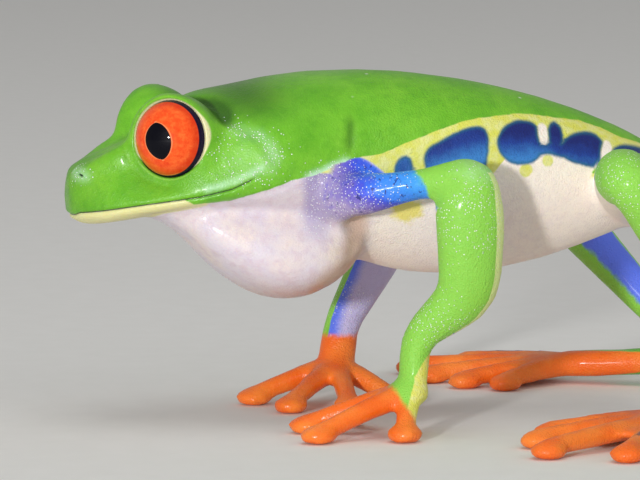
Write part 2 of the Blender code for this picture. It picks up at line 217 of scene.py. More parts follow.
# %% Melt everything into one skin
VOXEL = 0.235 * MM
for side in (-1, 1):
    place = Matrix.Translation(to_world(EYE.x, side * EYE.y, EYE.z))
    bmesh.ops.create_uvsphere(plugs, u_segments=48, v_segments=24, radius=(BALL + 0.3) * MM, matrix=place)
for bm in welded.values():
    pour(bm, plugs)
skin_mesh = bpy.data.meshes.new("skin")
plugs.to_mesh(skin_mesh)
plugs.free()
skin = bpy.data.objects.new("skin", skin_mesh)
bpy.context.scene.collection.objects.link(skin)
melt = skin.modifiers.new("Melt", "REMESH")
melt.mode = "VOXEL"
melt.voxel_size = VOXEL
apply_all(skin)


def keep_largest_shell(thing):
    """Drop closed hollows that the remesh leaves inside."""
    bm = bmesh.new()
    bm.from_mesh(thing.data)
    waiting, best = set(bm.verts), []
    while waiting:
        seed = waiting.pop()
        shell, front = [seed], [seed]
        while front:
            vertex = front.pop()
            for edge in vertex.link_edges:
                near = edge.other_vert(vertex)
                if near in waiting:
                    waiting.remove(near)
                    shell.append(near)
                    front.append(near)
        best = shell if len(shell) > len(best) else best
    keep = set(best)
    bmesh.ops.delete(bm, geom=[v for v in bm.verts if v not in keep], context="VERTS")
    bm.to_mesh(thing.data)
    bm.free()


keep_largest_shell(skin)
print("skin faces:", len(skin.data.polygons))

# %% [markdown]
# ## Soft where flesh is soft
#
# The solids are made of flat triangles, and their edges still show through. Smoothing removes them, but it
# also shrinks whatever is thin. So there are two passes: a light one everywhere, and a long one whose
# vertex group holds only the thick body and the upper limbs. What the smoothing took off is then given back
# along the normals.

# %% Smooth the skin
def weigh(thing, name, weights):
    """Make a vertex group from one number per vertex."""
    group = thing.vertex_groups.new(name=name)
    steps = np.round(weights, 2)
    for level in np.unique(steps):
        group.add([int(row) for row in np.nonzero(steps == level)[0]], float(level), "REPLACE")


def smooth(thing, times, group=""):
    soften = thing.modifiers.new("Soften", "SMOOTH")
    soften.factor = 0.5
    soften.iterations = times
    soften.vertex_group = group


places = from_snout(skin.data)
thick = ease(4.0, 9.0, places[:, 2]) * (0.35 + 0.65 * ease(3.0, 7.0, places[:, 0]))
thick *= 1 - 0.75 * ease(9.2, 10.2, np.abs(places[:, 1]))
weigh(skin, "thick", thick)
smooth(skin, 8)
smooth(skin, 40, "thick")
apply_all(skin)
places = from_snout(skin.data)
given_back = 0.05 + 0.04 * ease(4.0, 9.0, places[:, 2])
places += normals_of(skin.data) * given_back[:, None]
print("given back:", round(float(given_back.min()), 2), "to", round(float(given_back.max()), 2), "mm")

# %% [markdown]
# ## Room for the eyes
#
# A tree frog's eye is a ball that stands out of the head, and the lids are thin edges of skin that lie
# against it. Seen along the gaze, the skin may rise only so high round the ball: it dives under the ball
# inside the opening, and outside it climbs gently to the cheek and the brow. A smooth minimum of the skin's
# height and this limit makes the socket without a crease. Where skin and ball meet, they cut each other in
# a clean lid line.

# %% Sockets
EYES = {}
for side in (-1, 1):
    mirror = np.array([1, side, 1])
    EYES[side] = (np.array(EYE) * mirror, np.array(GAZE) * mirror)
CREST_AT, CREST_HEIGHT = 3.30, 1.22  # the lids' crest: how far from the line of gaze and how high along it
CHEEK_SLOPE = 0.45


def around_eye(points, side):
    """For each point: distance from the line of gaze, angle round it (0 at the rear, growing upwards), and
    height along it, counted from the eyeball's centre."""
    centre, gaze = EYES[side]
    out = points - centre
    forward = out @ gaze
    aside = out - forward[:, None] * gaze
    rear = np.array([1.0, 0.0, 0.0]) - gaze * gaze[0]
    rear /= np.linalg.norm(rear)
    up = np.cross(gaze, rear)
    up *= np.sign(up[2])
    return np.linalg.norm(aside, axis=1), np.arctan2(aside @ up, aside @ rear), forward


def make_sockets(points, softness):
    """Press the skin round both eyes down to the limit, in place."""
    for side in (-1, 1):
        wide, _, forward = around_eye(points, side)
        slope = np.where(wide > CREST_AT, CHEEK_SLOPE, 1.0)
        limit = CREST_HEIGHT + slope * (wide - CREST_AT)
        limit = np.maximum(limit, 0.3) + 2.0 * np.maximum(wide - 5.0, 0) ** 2
        near = (wide < 7.0) & (forward > -0.6) & (points[:, 1] * side > 0) & (points[:, 0] < 14)
        lower = -softness * np.logaddexp(-forward / softness, -limit / softness)
        change = np.where(near & (forward > limit - 4 * softness), lower - forward, 0.0)
        points += change[:, None] * EYES[side][1]


make_sockets(places, 0.15)
put_back(skin.data, places)
print("the lids' crest stands", CREST_HEIGHT, "mm out from the eyeball's centre")

# %% [markdown]
# Pressing the skin down leaves small steps. A short smoothing of the face and a longer one of the brow, in a
# ring outside the lids, take them away.

# %% Soften face and brow
on_face = (1 - ease(13, 15, places[:, 0])) * ease(15, 17, places[:, 2])
weigh(skin, "face", on_face)
smooth(skin, 3, "face")
brow = np.zeros(len(places))
for side in (-1, 1):
    wide, _, forward = around_eye(places, side)
    ring = ease(3.2, 3.5, wide) * (1 - ease(4.6, 5.4, wide)) * (places[:, 1] * side > 0) * (forward > -1)
    brow = np.maximum(brow, ring)
weigh(skin, "brow", brow)
smooth(skin, 14, "brow")
apply_all(skin)
print("skin box mm:", places.min(axis=0).round(2), places.max(axis=0).round(2))

# %% [markdown]
# ## Fine where it is looked at
#
# Eyelids, lips and the borders of the flank's pattern need far smaller faces than the back does. We first
# thin out the smooth parts, with a vertex group that spares the head and the flanks, and then divide the
# faces again in narrow bands: round each eye, along the mouth and at the nostrils. A visitor looks there
# first.

# %% Thin out the smooth parts
x, y, z = places.T
head_part = (1 - ease(16, 20, x)) * ease(14, 16, z)
flank_part = ease(17, 19, x) * ease(18.5, 19.5, z) * (1 - ease(25, 26, z)) * ease(2.5, 3.5, np.abs(y))
under_arm = ease(24, 25, x) * (1 - ease(29, 30, x)) * ease(15.6, 16.2, z) * (1 - ease(19, 20, z)) * (y < -4)
weigh(skin, "plain", 1 - 0.88 * np.maximum.reduce([head_part, flank_part, under_arm]))
thin = skin.modifiers.new("Thin out", "DECIMATE")
thin.ratio = 0.41  # the share of the faces that stays
thin.vertex_group = "plain"
apply_all(skin)
print("thinned to", len(skin.data.polygons), "faces")

# %% [markdown]
# The mouth runs back to a corner under the eye, and the jaw's edge lies below it. These lines are drawn once
# here, in the side view, for the bands of small faces now and for the folds and colours later.

# %% Lines of the face
MOUTH = [(0.0, 16.95), (0.8, 17.0), (1.1, 17.3), (4.0, 17.85), (6.2, 18.25), (10.0, 18.85), (12.4, 19.5),
         (13.8, 20.2), (14.9, 20.75)]
NOSTRIL = (1.3, 20.3)
JAW = [(0.0, 16.2), (0.8, 16.5), (4.0, 17.2), (8.4, 17.65), (12.3, 18.55), (15.4, 19.45), (17.9, 20.25)]


def face_bands(points, narrow):
    """True for points in the bands that need small faces."""
    wanted = np.zeros(len(points), bool)
    x, y, z = points.T
    for side in (-1, 1):
        wide, _, forward = around_eye(points, side)
        in_ring = (wide > 2.85 + 0.1 * narrow) & (wide < 4.0 - 0.4 * narrow)
        wanted |= in_ring & (forward > 0.2) & (y * side > 0)
    on_head = (x < 15.5) & (z > 15.5)
    wanted |= on_head & (np.abs(z - line(MOUTH, x)) < 0.5 - 0.25 * narrow) & (x < 14.8)
    wanted |= on_head & (np.hypot(x - NOSTRIL[0], z - NOSTRIL[1]) < 0.9 - 0.4 * narrow) & (np.abs(y) > 1.0)
    return wanted


print("corner of the mouth at x =", MOUTH[-1][0], "mm")

# %% Divide the faces in the bands
for narrow in (0, 1):
    wanted = face_bands(from_snout(skin.data), narrow)
    bm = bmesh.new()
    bm.from_mesh(skin.data)
    bm.verts.ensure_lookup_table()
    edges = [e for e in bm.edges if wanted[e.verts[0].index] or wanted[e.verts[1].index]]
    bmesh.ops.subdivide_edges(bm, edges=edges, cuts=1, use_grid_fill=True)
    bmesh.ops.triangulate(bm, faces=[f for f in bm.faces if len(f.verts) > 4])
    bm.to_mesh(skin.data)
    bm.free()
weigh(skin, "bands", face_bands(from_snout(skin.data), 0).astype(float))
smooth(skin, 5, "bands")
apply_all(skin)
print("after dividing:", sum(len(p.vertices) - 2 for p in skin.data.polygons), "triangles")

# %% [markdown]
# ## Sculpting by distance
#
# Folds could be brushed in by hand. Here each one is a height over the skin that depends on the distance to
# a line or a point, because a formula is easy to correct later: a groove is a narrow dip, a swelling a wide
# bump. Adding the heights up and moving every vertex along its normal sculpts all of them at once, the same
# on both sides.

# %% Tools for sculpting
def ridge(distance, width):
    """1 on a line and 0 a few widths away from it."""
    return np.exp(-(distance / width) ** 2)


def to_segments(starts, ends, x, z):
    """Distance in the side view from the nearest of several straight segments."""
    best = np.full(len(x), 1e9)
    for (ax, az), (bx, bz) in zip(starts, ends):
        run = np.array([bx - ax, bz - az])
        share = np.clip(((x - ax) * run[0] + (z - az) * run[1]) / (run @ run), 0, 1)
        best = np.minimum(best, np.hypot(x - ax - share * run[0], z - az - share * run[1]))
    return best


def from_line(points, x, z):
    """Distance in the side view from a drawn line through (x, z) points."""
    rows = np.array(points, float)
    return to_segments(rows[:-1], rows[1:], x, z)


places = from_snout(skin.data)
x, y, z = places.T
beside = np.abs(y)
normals = normals_of(skin.data)
on_head = (1 - ease(16.5, 18.5, x)) * ease(14.5, 15.5, z)
sides = beside > 4  # off the back and the belly
on_flank = (beside > 3.0) * ease(11.0, 12.0, z) * (beside < 9.6)
height = np.zeros(len(x))
print("sculpting", len(x), "vertices")

# %% [markdown]
# The mouth is a groove with a thin lip on either side, and the jaw's edge a shallower one. Each nostril is a
# slit in a small swelling, and the eardrum a faint disc with a rim, under the fold that runs back from the
# eye.

# %% Mouth, nostrils and ears
to_mouth = z - line(MOUTH, x)
mouth_end = 1 - ease(13.6, 14.7, x)
height += on_head * mouth_end * (-0.15 * ridge(to_mouth, 0.11) + 0.05 * ridge(to_mouth - 0.35, 0.25)
                                 + 0.05 * ridge(to_mouth + 0.35, 0.25))
to_jaw = z - line(JAW, x)
height -= on_head * ease(3.5, 7, x) * (1 - ease(16.0, 17.5, x)) * 0.10 * ridge(to_jaw + 0.15, 0.22)
nose_x, nose_z = x - NOSTRIL[0], z - NOSTRIL[1]
near_nose = on_head * (beside > 0.9)
nose_bulge = np.exp(-(nose_x / 0.65) ** 2 - (nose_z / 0.55) ** 2)
height += on_head * (0.12 + 0.10 * (beside > 0.9)) * nose_bulge
slit_x, slit_z = nose_x * 0.8 - nose_z * 0.6, nose_x * 0.6 + nose_z * 0.8
slit = np.exp(-(slit_x / 0.20) ** 2 - (slit_z / 0.10) ** 2)
height -= near_nose * 0.40 * slit
ear = np.hypot(x - 12.9, z - 21.9)
height += on_head * sides * (0.05 * ridge(ear - 0.95, 0.16) - 0.05 * ridge(ear, 0.7))
EAR_FOLD = [(11.6, 24.6), (13.2, 23.8), (14.6, 22.3), (15.4, 21.1), (16.5, 20.3)]
UNDER_FOLD = [(a + 0.75, b + 0.25) for a, b in EAR_FOLD]
height += sides * on_flank * (0.10 * ridge(from_line(EAR_FOLD, x, z), 0.40)
                              - 0.09 * ridge(from_line(UNDER_FOLD, x, z), 0.35))
print("deepest so far:", round(float(height.min()), 2), "mm")

# %% [markdown]
# A hollow lies between the eye's bulge and the neck. Behind the shoulder the loose skin of the back makes one
# fold, a crease parts throat and chest, and three fine folds gather at the armpit.

# %% Hollows and folds
hollow = np.zeros(len(x))
for side in (-1, 1):
    out = places - EYES[side][0]
    far = np.linalg.norm(out, axis=1)
    toward = out @ np.array([0.64, side * -0.24, 0.73]) / far
    pocket = (y * side > 0) * ridge(far - 4.3, 0.6) * ease(0.55, 0.97, toward)
    height -= 0.62 * pocket
    hollow = np.maximum(hollow, pocket)
BACK_FOLD = [(22.3, 26.0), (22.2, 24.4), (21.9, 22.0), (21.8, 21.2)]
back_fold = ridge(from_line(BACK_FOLD, x, z), 0.42) * on_flank
back_fold *= ease(21.4, 23.0, z) * (1 - ease(24.2, 25.8, z))
height -= 0.17 * back_fold
THROAT_CREASE = [(22.2, 17.4), (22.7, 15.6), (22.2, 13.2)]
height -= on_flank * 0.22 * ridge(from_line(THROAT_CREASE, x, z), 0.40)
for shift in (0.0, 0.75, 1.5):
    fold = [(19.2 + shift, 20.4), (19.6 + shift, 18.8), (19.4 + shift, 17.2)]
    height -= on_flank * 0.05 * ridge(from_line(fold, x, z), 0.16)
places += normals * height[:, None]
print("deepest fold:", round(float(height.min()), 2), "mm, highest:", round(float(height.max()), 2), "mm")

# %% [markdown]
# The lids get their sharp edge last, with a second and much tighter pass of the sockets. Then we hold the
# skin between the floor and the top of the back, and flatten the very tip of the snout a little, as it is
# in life.

# %% Lids, and the skin's limits
make_sockets(places, 0.06)
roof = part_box("trunk")[1].z / MM
places[:, 2] = np.clip(places[:, 2], 0.0, roof - 0.01)
blunt = SNOUT_GAP + 0.12
places[:, 0] = blunt + 0.08 * np.logaddexp(0, (places[:, 0] - blunt) / 0.08)
put_back(skin.data, places)
skin.data.shade_smooth()
print("skin's top at", round(float(places[:, 2].max()), 2), "mm")

# %% [markdown]
# ## Where each colour goes
#
# Markings could be painted on the skin by hand, but then their borders are only as sharp as the paint's
# grid. Here they are kept as distances: for each colour, every vertex stores how many millimetres it lies
# inside that colour's border. The material turns a distance into a border as sharp or as soft as it should
# be, and can make it wavy with a little noise, however coarse the mesh is.

# %% Distances
def rounded(points, times=3):
    """Cut a closed outline's corners again and again, until it is a smooth curve."""
    rows = np.array(points, float)
    for _ in range(times):
        ends = np.roll(rows, -1, axis=0)
        rows = np.stack([0.75 * rows + 0.25 * ends, 0.25 * rows + 0.75 * ends], axis=1).reshape(-1, 2)
    return rows


def inside_shape(points, x, z, rounding=0.12):
    """How far inside a closed shape, drawn in the side view, each point lies."""
    rows = rounded(points)
    ends = np.roll(rows, -1, axis=0)
    best = to_segments(rows, ends, x, z)
    crossings = np.zeros(len(x), bool)
    for (ax, az), (bx, bz) in zip(rows, ends):
        crossings ^= ((az > z) != (bz > z)) & (x < ax + (z - az) * (bx - ax) / ((bz - az) or 1e-9))
    return np.where(crossings, best, -best) + rounding


print("points of a rounded square:", len(rounded([(0, 0), (1, 0), (1, 1), (0, 1)])))

# %% [markdown]
# The limbs turn in all directions, so their markings can't be drawn in the side view. Instead each limb gets
# a smooth centre line, and every vertex looks up the nearest place on it: how far along it lies, on which
# side of the limb, and how deep inside its outline.

# %% Places along a limb
CHUNK = 20000  # vertices looked up at a time, to save memory


def centre_line(points, steps=10):
    """Even samples of a smooth curve through (x, y, z, radius) points."""
    rows = np.array(points, float)
    padded = np.vstack([2 * rows[0] - rows[1], rows, 2 * rows[-1] - rows[-2]])
    samples = []
    for i in range(len(rows) - 1):
        a, b, c, d = padded[i:i + 4]
        for t in np.arange(steps) / steps:
            samples.append(0.5 * (2 * b + (c - a) * t + (2 * a - 5 * b + 4 * c - d) * t ** 2
                                  + (3 * b - a - 3 * c + d) * t ** 3))
    return np.vstack([samples, rows[-1]])


def on_limb(points, places, steps=10):
    """For every vertex: how deep inside the limb's outline it is, its place along the limb counted in the
    limb's points, and its offset from the centre line."""
    samples = centre_line(points, steps)
    forward = np.gradient(samples[:, :3], axis=0)
    depth, place = np.empty(len(places)), np.empty(len(places))
    offset = np.empty((len(places), 3))
    for start in range(0, len(places), CHUNK):
        part = places[start:start + CHUNK]
        gap = part[:, None, :] - samples[None, :, :3]
        nearest = (gap ** 2).sum(axis=2).argmin(axis=1)
        gap = gap[np.arange(len(part)), nearest]
        step = forward[nearest]
        slide = np.clip((gap * step).sum(axis=1) / (step ** 2).sum(axis=1), -0.6, 0.6)
        gap -= slide[:, None] * step
        rows = slice(start, start + len(part))
        place[rows] = (nearest + slide) / steps
        radius_here = np.interp(nearest + slide, np.arange(len(samples)), samples[:, 3])
        depth[rows] = radius_here - np.linalg.norm(gap, axis=1)
        offset[rows] = gap
    return depth, place, offset


print("samples of a line through three points:", len(centre_line([(0, 0, 0, 1), (1, 0, 0, 1), (2, 1, 0, 1)])))

# %% [markdown]
# The points run from the body to the hand or the foot, with the limb's radius at each. The two legs are
# alike; the arms are set down a little differently.

# %% Paths of the limbs
LEFT_ARM = [(20.6, -5.6, 18.6, 2.3), (22.6, -9.2, 19.0, 1.7), (26.8, -11.4, 19.95, 1.25),
            (30.2, -12.9, 20.25, 1.9), (30.4, -13.2, 18.2, 2.4), (30.5, -13.1, 15.0, 2.35),
            (30.2, -12.4, 11.3, 2.1), (26.95, -11.0, 7.9, 1.35), (26.4, -10.9, 4.6, 1.25)]
RIGHT_ARM = [(20.6, 5.6, 18.6, 2.3), (22.6, 9.2, 18.5, 1.75), (26.2, 11.6, 18.0, 1.45),
             (29.4, 13.2, 17.4, 1.95), (30.0, 13.4, 15.8, 2.3), (28.6, 12.8, 12.2, 2.4),
             (26.6, 11.6, 9.0, 1.9), (25.0, 10.6, 6.4, 1.5), (24.3, 9.6, 3.6, 1.5)]
LEG = [(47.0, 2.5, 18.2, 3.0), (44.6, 9.0, 19.2, 2.75), (42.4, 15.5, 20.2, 2.45), (40.7, 21.4, 21.2, 2.1),
       (41.6, 22.8, 20.0, 1.95), (45.6, 20.2, 15.2, 2.15), (51.0, 16.0, 8.6, 1.6), (54.8, 13.0, 3.9, 1.2),
       (54.4, 13.0, 2.6, 1.25), (51.4, 14.7, 2.0, 1.15), (46.0, 17.5, 1.6, 1.5)]
ELBOW, KNEE = 3.2, 3.3  # where along its points a limb bends
print("limbs:", len(LEFT_ARM), len(RIGHT_ARM), len(LEG), "points")

# %% [markdown]
# ### Body
#
# The green of the back ends along one line on the flank. Under it runs a yellow band, with blue patches
# that leave yellow bars between them. All of it is drawn once in the side view and holds for both sides.

# %% Outlines on the flank
GREEN_EDGE = [(0, 16.95), (0.8, 17.0), (1.1, 17.3), (4.0, 17.85), (6.2, 18.25), (8.8, 18.65), (9.6, 18.25),
              (12.3, 18.55), (15.4, 19.5), (17.0, 20.1), (19.0, 20.5), (21.0, 21.2), (22.0, 21.7),
              (23.0, 21.9), (24.4, 22.0), (26.1, 22.7), (27.7, 23.3), (29.4, 23.9), (31.1, 24.4),
              (32.9, 24.7), (34.6, 24.8), (36.1, 24.9), (37.3, 24.8), (39.2, 24.5), (41.7, 24.1),
              (43.5, 23.5), (45.1, 22.7), (46.8, 22.2), (52.0, 20.4)]
BAND_FOOT = [(17.0, 20.3), (19.0, 20.7), (21.0, 20.6), (22.0, 20.2), (26.0, 19.4), (30.0, 19.2), (33.0, 19.6),
             (34.0, 20.8), (35.0, 21.8), (36.5, 22.6), (38.3, 22.8), (40.0, 22.4), (42.0, 22.0), (44.0, 21.4),
             (47.0, 20.6), (52.0, 19.5)]
SHOULDER = [(20.5, 20.3), (21.2, 21.4), (22.2, 21.9), (23.2, 21.6), (24.2, 20.9), (25.0, 20.2), (24.0, 18.6),
            (21.5, 18.8)]
BLUE_PATCHES = [
    [(25.6, 20.4), (25.7, 21.2), (26.1, 21.7), (26.6, 21.8), (26.95, 21.4), (26.95, 20.4), (26.8, 19.6),
     (26.0, 19.5)],
    [(28.1, 20.8), (28.0, 21.8), (28.4, 22.5), (29.3, 22.9), (30.3, 23.4), (31.3, 23.8), (32.4, 24.0),
     (33.0, 23.9), (33.3, 23.3), (33.2, 22.4), (33.0, 21.2), (32.6, 19.8), (31.0, 18.9), (29.0, 19.2)],
    [(34.2, 22.0), (34.1, 22.9), (34.4, 23.5), (35.0, 24.0), (35.8, 24.3), (36.7, 24.3), (37.4, 24.1),
     (37.7, 23.6), (37.7, 22.9), (37.8, 22.1), (37.4, 21.3), (36.2, 21.0), (35.0, 21.2)],
    [(36.9, 22.4), (38.3, 22.6), (39.6, 22.5), (40.8, 22.0), (40.4, 21.4), (39.3, 21.5), (38.4, 21.9),
     (37.4, 21.6)],
    [(38.5, 22.2), (38.5, 23.3), (38.9, 24.0), (39.4, 24.1), (39.8, 23.6), (39.7, 22.2)],
    [(39.3, 22.0), (40.1, 22.9), (41.2, 23.2), (42.2, 23.2), (43.0, 22.9), (43.4, 22.2), (43.3, 21.3),
     (43.1, 20.7), (42.5, 20.5), (41.4, 20.8), (40.0, 21.2)],
    [(43.5, 20.4), (43.8, 21.5), (44.7, 22.1), (45.9, 22.0), (47.3, 21.6), (49.0, 20.8), (49.0, 19.4),
     (46.5, 19.2), (44.2, 19.6)],
]
WHITE_GAPS = [[(37.85, 22.6), (37.8, 23.8), (38.1, 24.0), (38.4, 23.8), (38.35, 22.6)],
              [(43.0, 19.8), (43.2, 21.8), (43.6, 22.5), (44.0, 22.2), (43.7, 21.0), (43.4, 19.6)]]
YELLOW_SPOTS = [(36.4, 20.5, 0.56), (38.3, 21.2, 0.47)]
VIOLET = [(17.9, 20.6), (19.3, 21.6), (22.4, 22.4), (23.4, 20.0), (22.4, 17.6), (20.9, 16.8), (20.3, 15.0),
          (18.9, 14.6), (18.3, 16.4), (18.2, 18.6)]
print("blue patches on each flank:", len(BLUE_PATCHES))

# %% [markdown]
# A marking bounded by several lines lies where all of their distances are positive, so the smallest one is
# its own distance: that is an overlap. The largest of several markings' distances joins them. With these
# two rules the outlines become the lip, the flank's band, the patches and the soft clouds of colour on
# shoulder, chest and belly.

# %% Overlaps and joins
OUTSIDE = -9.0  # a distance for: nowhere near the marking


def overlap(*fields):
    return functools.reduce(np.minimum, fields)


def joined(*fields):
    return functools.reduce(np.maximum, fields)


def tell(word, field):
    """Print how many vertices a marking covers."""
    print(word, int((field > 0).sum()), "vertices")


# %% Body markings
green = z - line(GREEN_EDGE, x)
jaw_foot = line([(0.0, 15.0), (4.0, 15.8), (6.5, 16.7), (7.5, 17.35), (12.3, 18.5)], x)
lip = overlap(line(MOUTH, x) - z, z - jaw_foot, (10.6 - x) * 0.35 + (z - line(JAW, x)) * 0.3)
flank_band = overlap(line(GREEN_EDGE, x) - z + 0.3, z - line(BAND_FOOT, x), x - 19.2)
yellow = joined(lip, flank_band)
for at_x, at_z, radius in YELLOW_SPOTS:
    yellow = joined(yellow, radius - np.hypot(x - at_x, z - at_z))
blotch = ridge(np.hypot((x - 26.7) / 1.3, z - 17.5), 1.0) * sides
blue = joined(*[inside_shape(shape, x, z) for shape in BLUE_PATCHES])
white = joined(*[inside_shape(shape, x, z, 0.16) for shape in WHITE_GAPS])
blue = overlap(blue, -white)
shoulder = np.where(sides, inside_shape(SHOULDER, x, z), OUTSIDE)
yellow = overlap(yellow, -white, -shoulder)
teal = ease(0.4, 3.2, line(GREEN_EDGE, x) - z - 0.6) * (1 - 0.35 * ease(38, 40, x))
teal += 0.25 * (1 - ease(33.2, 34, x))
teal = np.where(x < 27.6, np.interp(x, [24.6, 25.2], [0.25, 0.6]), teal)
violet = ease(-0.7, 0.9, inside_shape(VIOLET, x, z, 0.0)) * sides * ease(14.0, 18.5, z)
# tan: painted shade, a warm darkening in the crease between throat and chest and low under the throat
tan = ridge(from_line([(22.4, 17.6), (22.8, 15.6), (22.2, 13.0), (20.0, 11.2)], x, z), 1.3) * (x < 24)
tan = joined(tan, 0.55 * ease(13.5, 10.2, z) * (x < 23.5))
belly = ease(22.4, 25.0, x)
tell("green:", green)
tell("blue on the flanks:", blue)

# %% [markdown]
# ### Arms
#
# Along the upper arm the colour runs from violet over blue to a bright sky blue, and then the green begins.
# The forearm is green outside and lavender inside, and on the left one a cream line runs down the rear edge.
# Two patterns meet at the limb's outline: inside it the limb's own holds, outside it the body's.

# %% Where two patterns meet
def round_limb(path, side):
    """What on_limb says, with the offset away from the body and the limb's radius added."""
    depth, run, offset = on_limb(path, places)
    radius = np.maximum(depth + np.linalg.norm(offset, axis=1), 0.5)
    return depth, run, offset, offset[:, 1] * side, radius


def inside_of(limb, own, other):
    """The limb's own marking inside its outline, the other one outside it."""
    return joined(overlap(own, limb), overlap(other, -limb))


nothing = np.full(len(x), OUTSIDE)
arm_blue = shoulder
cream, orange, lavender, streak = (nothing.copy() for _ in range(4))
along = np.interp(x, [20.5, 25], [0.22, 0.5])
grainy, frost = np.zeros(len(x)), np.zeros(len(x))
tell("blue on the shoulders:", shoulder)

# %% Arm markings
GRAINY_ARM = ((0.8, 0.9, 1.0), (3.7, 0.8, 0.85), (4.6, 0.5, 0.5), (6.6, 0.45, 0.8))  # place, reach, amount
for side, path in ((-1, LEFT_ARM), (1, RIGHT_ARM)):
    depth, run, offset, outward, radius = round_limb(path, side)
    web = 0.9 * ridge(run - 3.1, 0.8)  # the corner inside the elbow is filled with flesh
    limb = overlap(depth + 0.75 + web, y * side - 4.0, (run - 0.55) * 2.5)
    # angle round the arm: 0 on its outer side, 90 at the rear
    turn = np.degrees(np.arctan2(offset[:, 0] * 0.98 + outward * 0.19, outward * 0.98 - offset[:, 0] * 0.19))
    # the upper arm is blue as far as a slanting line before the elbow
    start = (26.9 if side < 0 else 26.4) + (path[2][2] - z) * 0.5
    forearm = (run - ELBOW) * 3
    rear = (turn - 60) * radius / 57  # mm behind the line down the rear edge
    inside = (-115 - turn) * radius / 57  # mm past the line down the inner side
    pale_side = overlap(joined(rear, overlap(inside, (run - 4.2) * 2)), forearm)
    green = inside_of(limb, overlap(joined(0.35 * (x - start), forearm), -pale_side), green)
    yellow, blue = inside_of(limb, nothing, yellow), inside_of(limb, nothing, blue)
    arm_blue = joined(arm_blue, overlap(limb, 1.0 - forearm))
    lavender = joined(lavender, overlap(limb, pale_side + 0.4))
    inner = np.where(limb > 0, pale_side, inside)
    if side < 0:
        cream = joined(cream, overlap(limb, rear + 0.10, 1.5 - rear, forearm))
    under = np.clip(-offset[:, 2] / radius, 0, 1)
    along = np.where(limb > 0, (x - 19.5) / 8.0 - 0.36 * under, along)
    elbow = ease(-0.5, 0.3, limb) * ridge(run - 3.1, 0.45) * ease(-0.3, 0.8, offset[:, 2])
    # painted sheen: a pale shine painted along the top of the elbow
    frost = joined(frost, 0.3 * elbow)
    for place, reach, amount in GRAINY_ARM:
        grainy = joined(grainy, ease(-0.5, 0.3, limb) * amount * ridge(run - place, reach))
tell("blue on the arms:", arm_blue)

# %% [markdown]
# ### Hands
#
# Palms and fingers are orange. The outermost finger keeps the arm's colours: on the left hand, which stands
# under its arm, they run down as a sleeve, green in front and yellow behind, and on the right only a short
# tongue of green reaches the finger's base.

# %% Left hand
LEFT_OUTER = [(28.4, -11.4, 9.0, 1.7), (26.9, -10.9, 6.4, 1.5), (26.4, -10.9, 5.2, 1.5),
              (26.2, -11.6, 3.6, 1.5), (25.5, -13.0, 2.0, 1.1), (25.0, -14.3, 0.9, 1.2)]
at_hand = (x < 34) & (x > 8) & (z < 8.2)
depth, run, offset = on_limb(LEFT_OUTER, places)
hand = at_hand & (y < 0)
cuff = hand & (depth > -1.2)
split = offset[:, 0] - np.interp(z, [5.5, 8.4], [-0.25, 0.95])
yellow = np.where(cuff, np.clip(split, -1, 1), yellow)
green = np.where(cuff, np.clip(0.15 - split, -1, 1), green)
lavender, cream = np.where(cuff, OUTSIDE, lavender), np.where(cuff, OUTSIDE, cream)
level = 4.4 - z + 0.25 * (x - 26) + 2.5 * np.clip(-depth - 0.5, 0, 2)
sleeve = overlap(depth + 0.45, (z - 3.74 + 1.75 * (x - 24.7)) / 2)
orange = np.where(hand, overlap(level, -sleeve), orange)
tell("orange on the left hand:", orange)

# %% Right hand
RIGHT_OUTER = [(24.5, 9.9, 5.0, 1.6), (23.6, 9.5, 3.4, 1.3), (21.0, 9.3, 1.6, 0.8), (18.6, 9.0, 0.9, 0.8)]
depth, run, offset = on_limb(RIGHT_OUTER, places)
hand = at_hand & (y > 0)
low = hand & (z < 4.9)
yellow = np.where(hand, OUTSIDE, yellow)
green = np.where(low, np.minimum(0.25 + offset[:, 1], 1.0), green)
lavender, cream = np.where(low, OUTSIDE, lavender), np.where(low, OUTSIDE, cream)
sleeve = overlap(depth + 0.45, (0.9 - run) * 1.5, offset[:, 2] + 0.3, 3.0 - z)
orange = np.where(hand, overlap(5.6 - z, -sleeve), orange)
tell("orange on both hands:", orange)

# %% [markdown]
# ### Legs and feet
#
# A thigh has a narrow green stripe on top, blue behind it and a pale front; the shank is green outside and
# lavender inside. All of it depends on how far round the limb a point lies, so the offset from the limb's
# centre line draws it.

# %% Leg markings
for side in (-1, 1):
    depth, run, offset, outward, radius = round_limb(np.array(LEG) * (1, side, 1, 1), side)
    limb = overlap(depth + 0.8, (run - 0.7) * 3, y * side - 3.5)
    shank = (run - KNEE) * 3
    stripe = offset[:, 2] - 0.55 * radius - 0.15 * offset[:, 0]
    outer_side = 0.72 * outward + 0.45 * offset[:, 2] - 0.5 * offset[:, 0] + 0.25 * radius
    below_knee = np.where(run < 4.2, 1.0, outer_side)
    leg_green = np.where(run < KNEE, joined(stripe, (run - 2.7) * 4), below_knee)
    green = inside_of(limb, np.minimum(leg_green, 1.0), green)
    behind_thigh = overlap(offset[:, 0] + 0.6, offset[:, 2] + 0.7 * radius, (run - 0.85) * 1.3)
    over_thigh = overlap(stripe + 1.1, (run - 1.7) * 0.6)
    thigh_blue = overlap(joined(behind_thigh, over_thigh), -shank)
    blue = inside_of(limb, thigh_blue, blue)
    yellow = inside_of(limb, overlap(stripe + 0.35, -shank), yellow)
    lavender = inside_of(limb, overlap(shank - 2.0, 0.4 - outer_side), lavender)
    inner = np.where(limb > 0, -outer_side, inner)
    grainy = joined(grainy, ease(-0.5, 0.3, limb) * 0.7 * ridge(run - 3.5, 0.8))
tell("lavender:", lavender)

# %% [markdown]
# The feet are orange from the ankle down. A streak runs along the outermost toe, from the heel to the pad,
# and changes from green over silvery violet to brown, and the right foot has a small yellow patch beside
# the pad. Seen from above the streak is a bent line, so here the distances are taken in x and y.

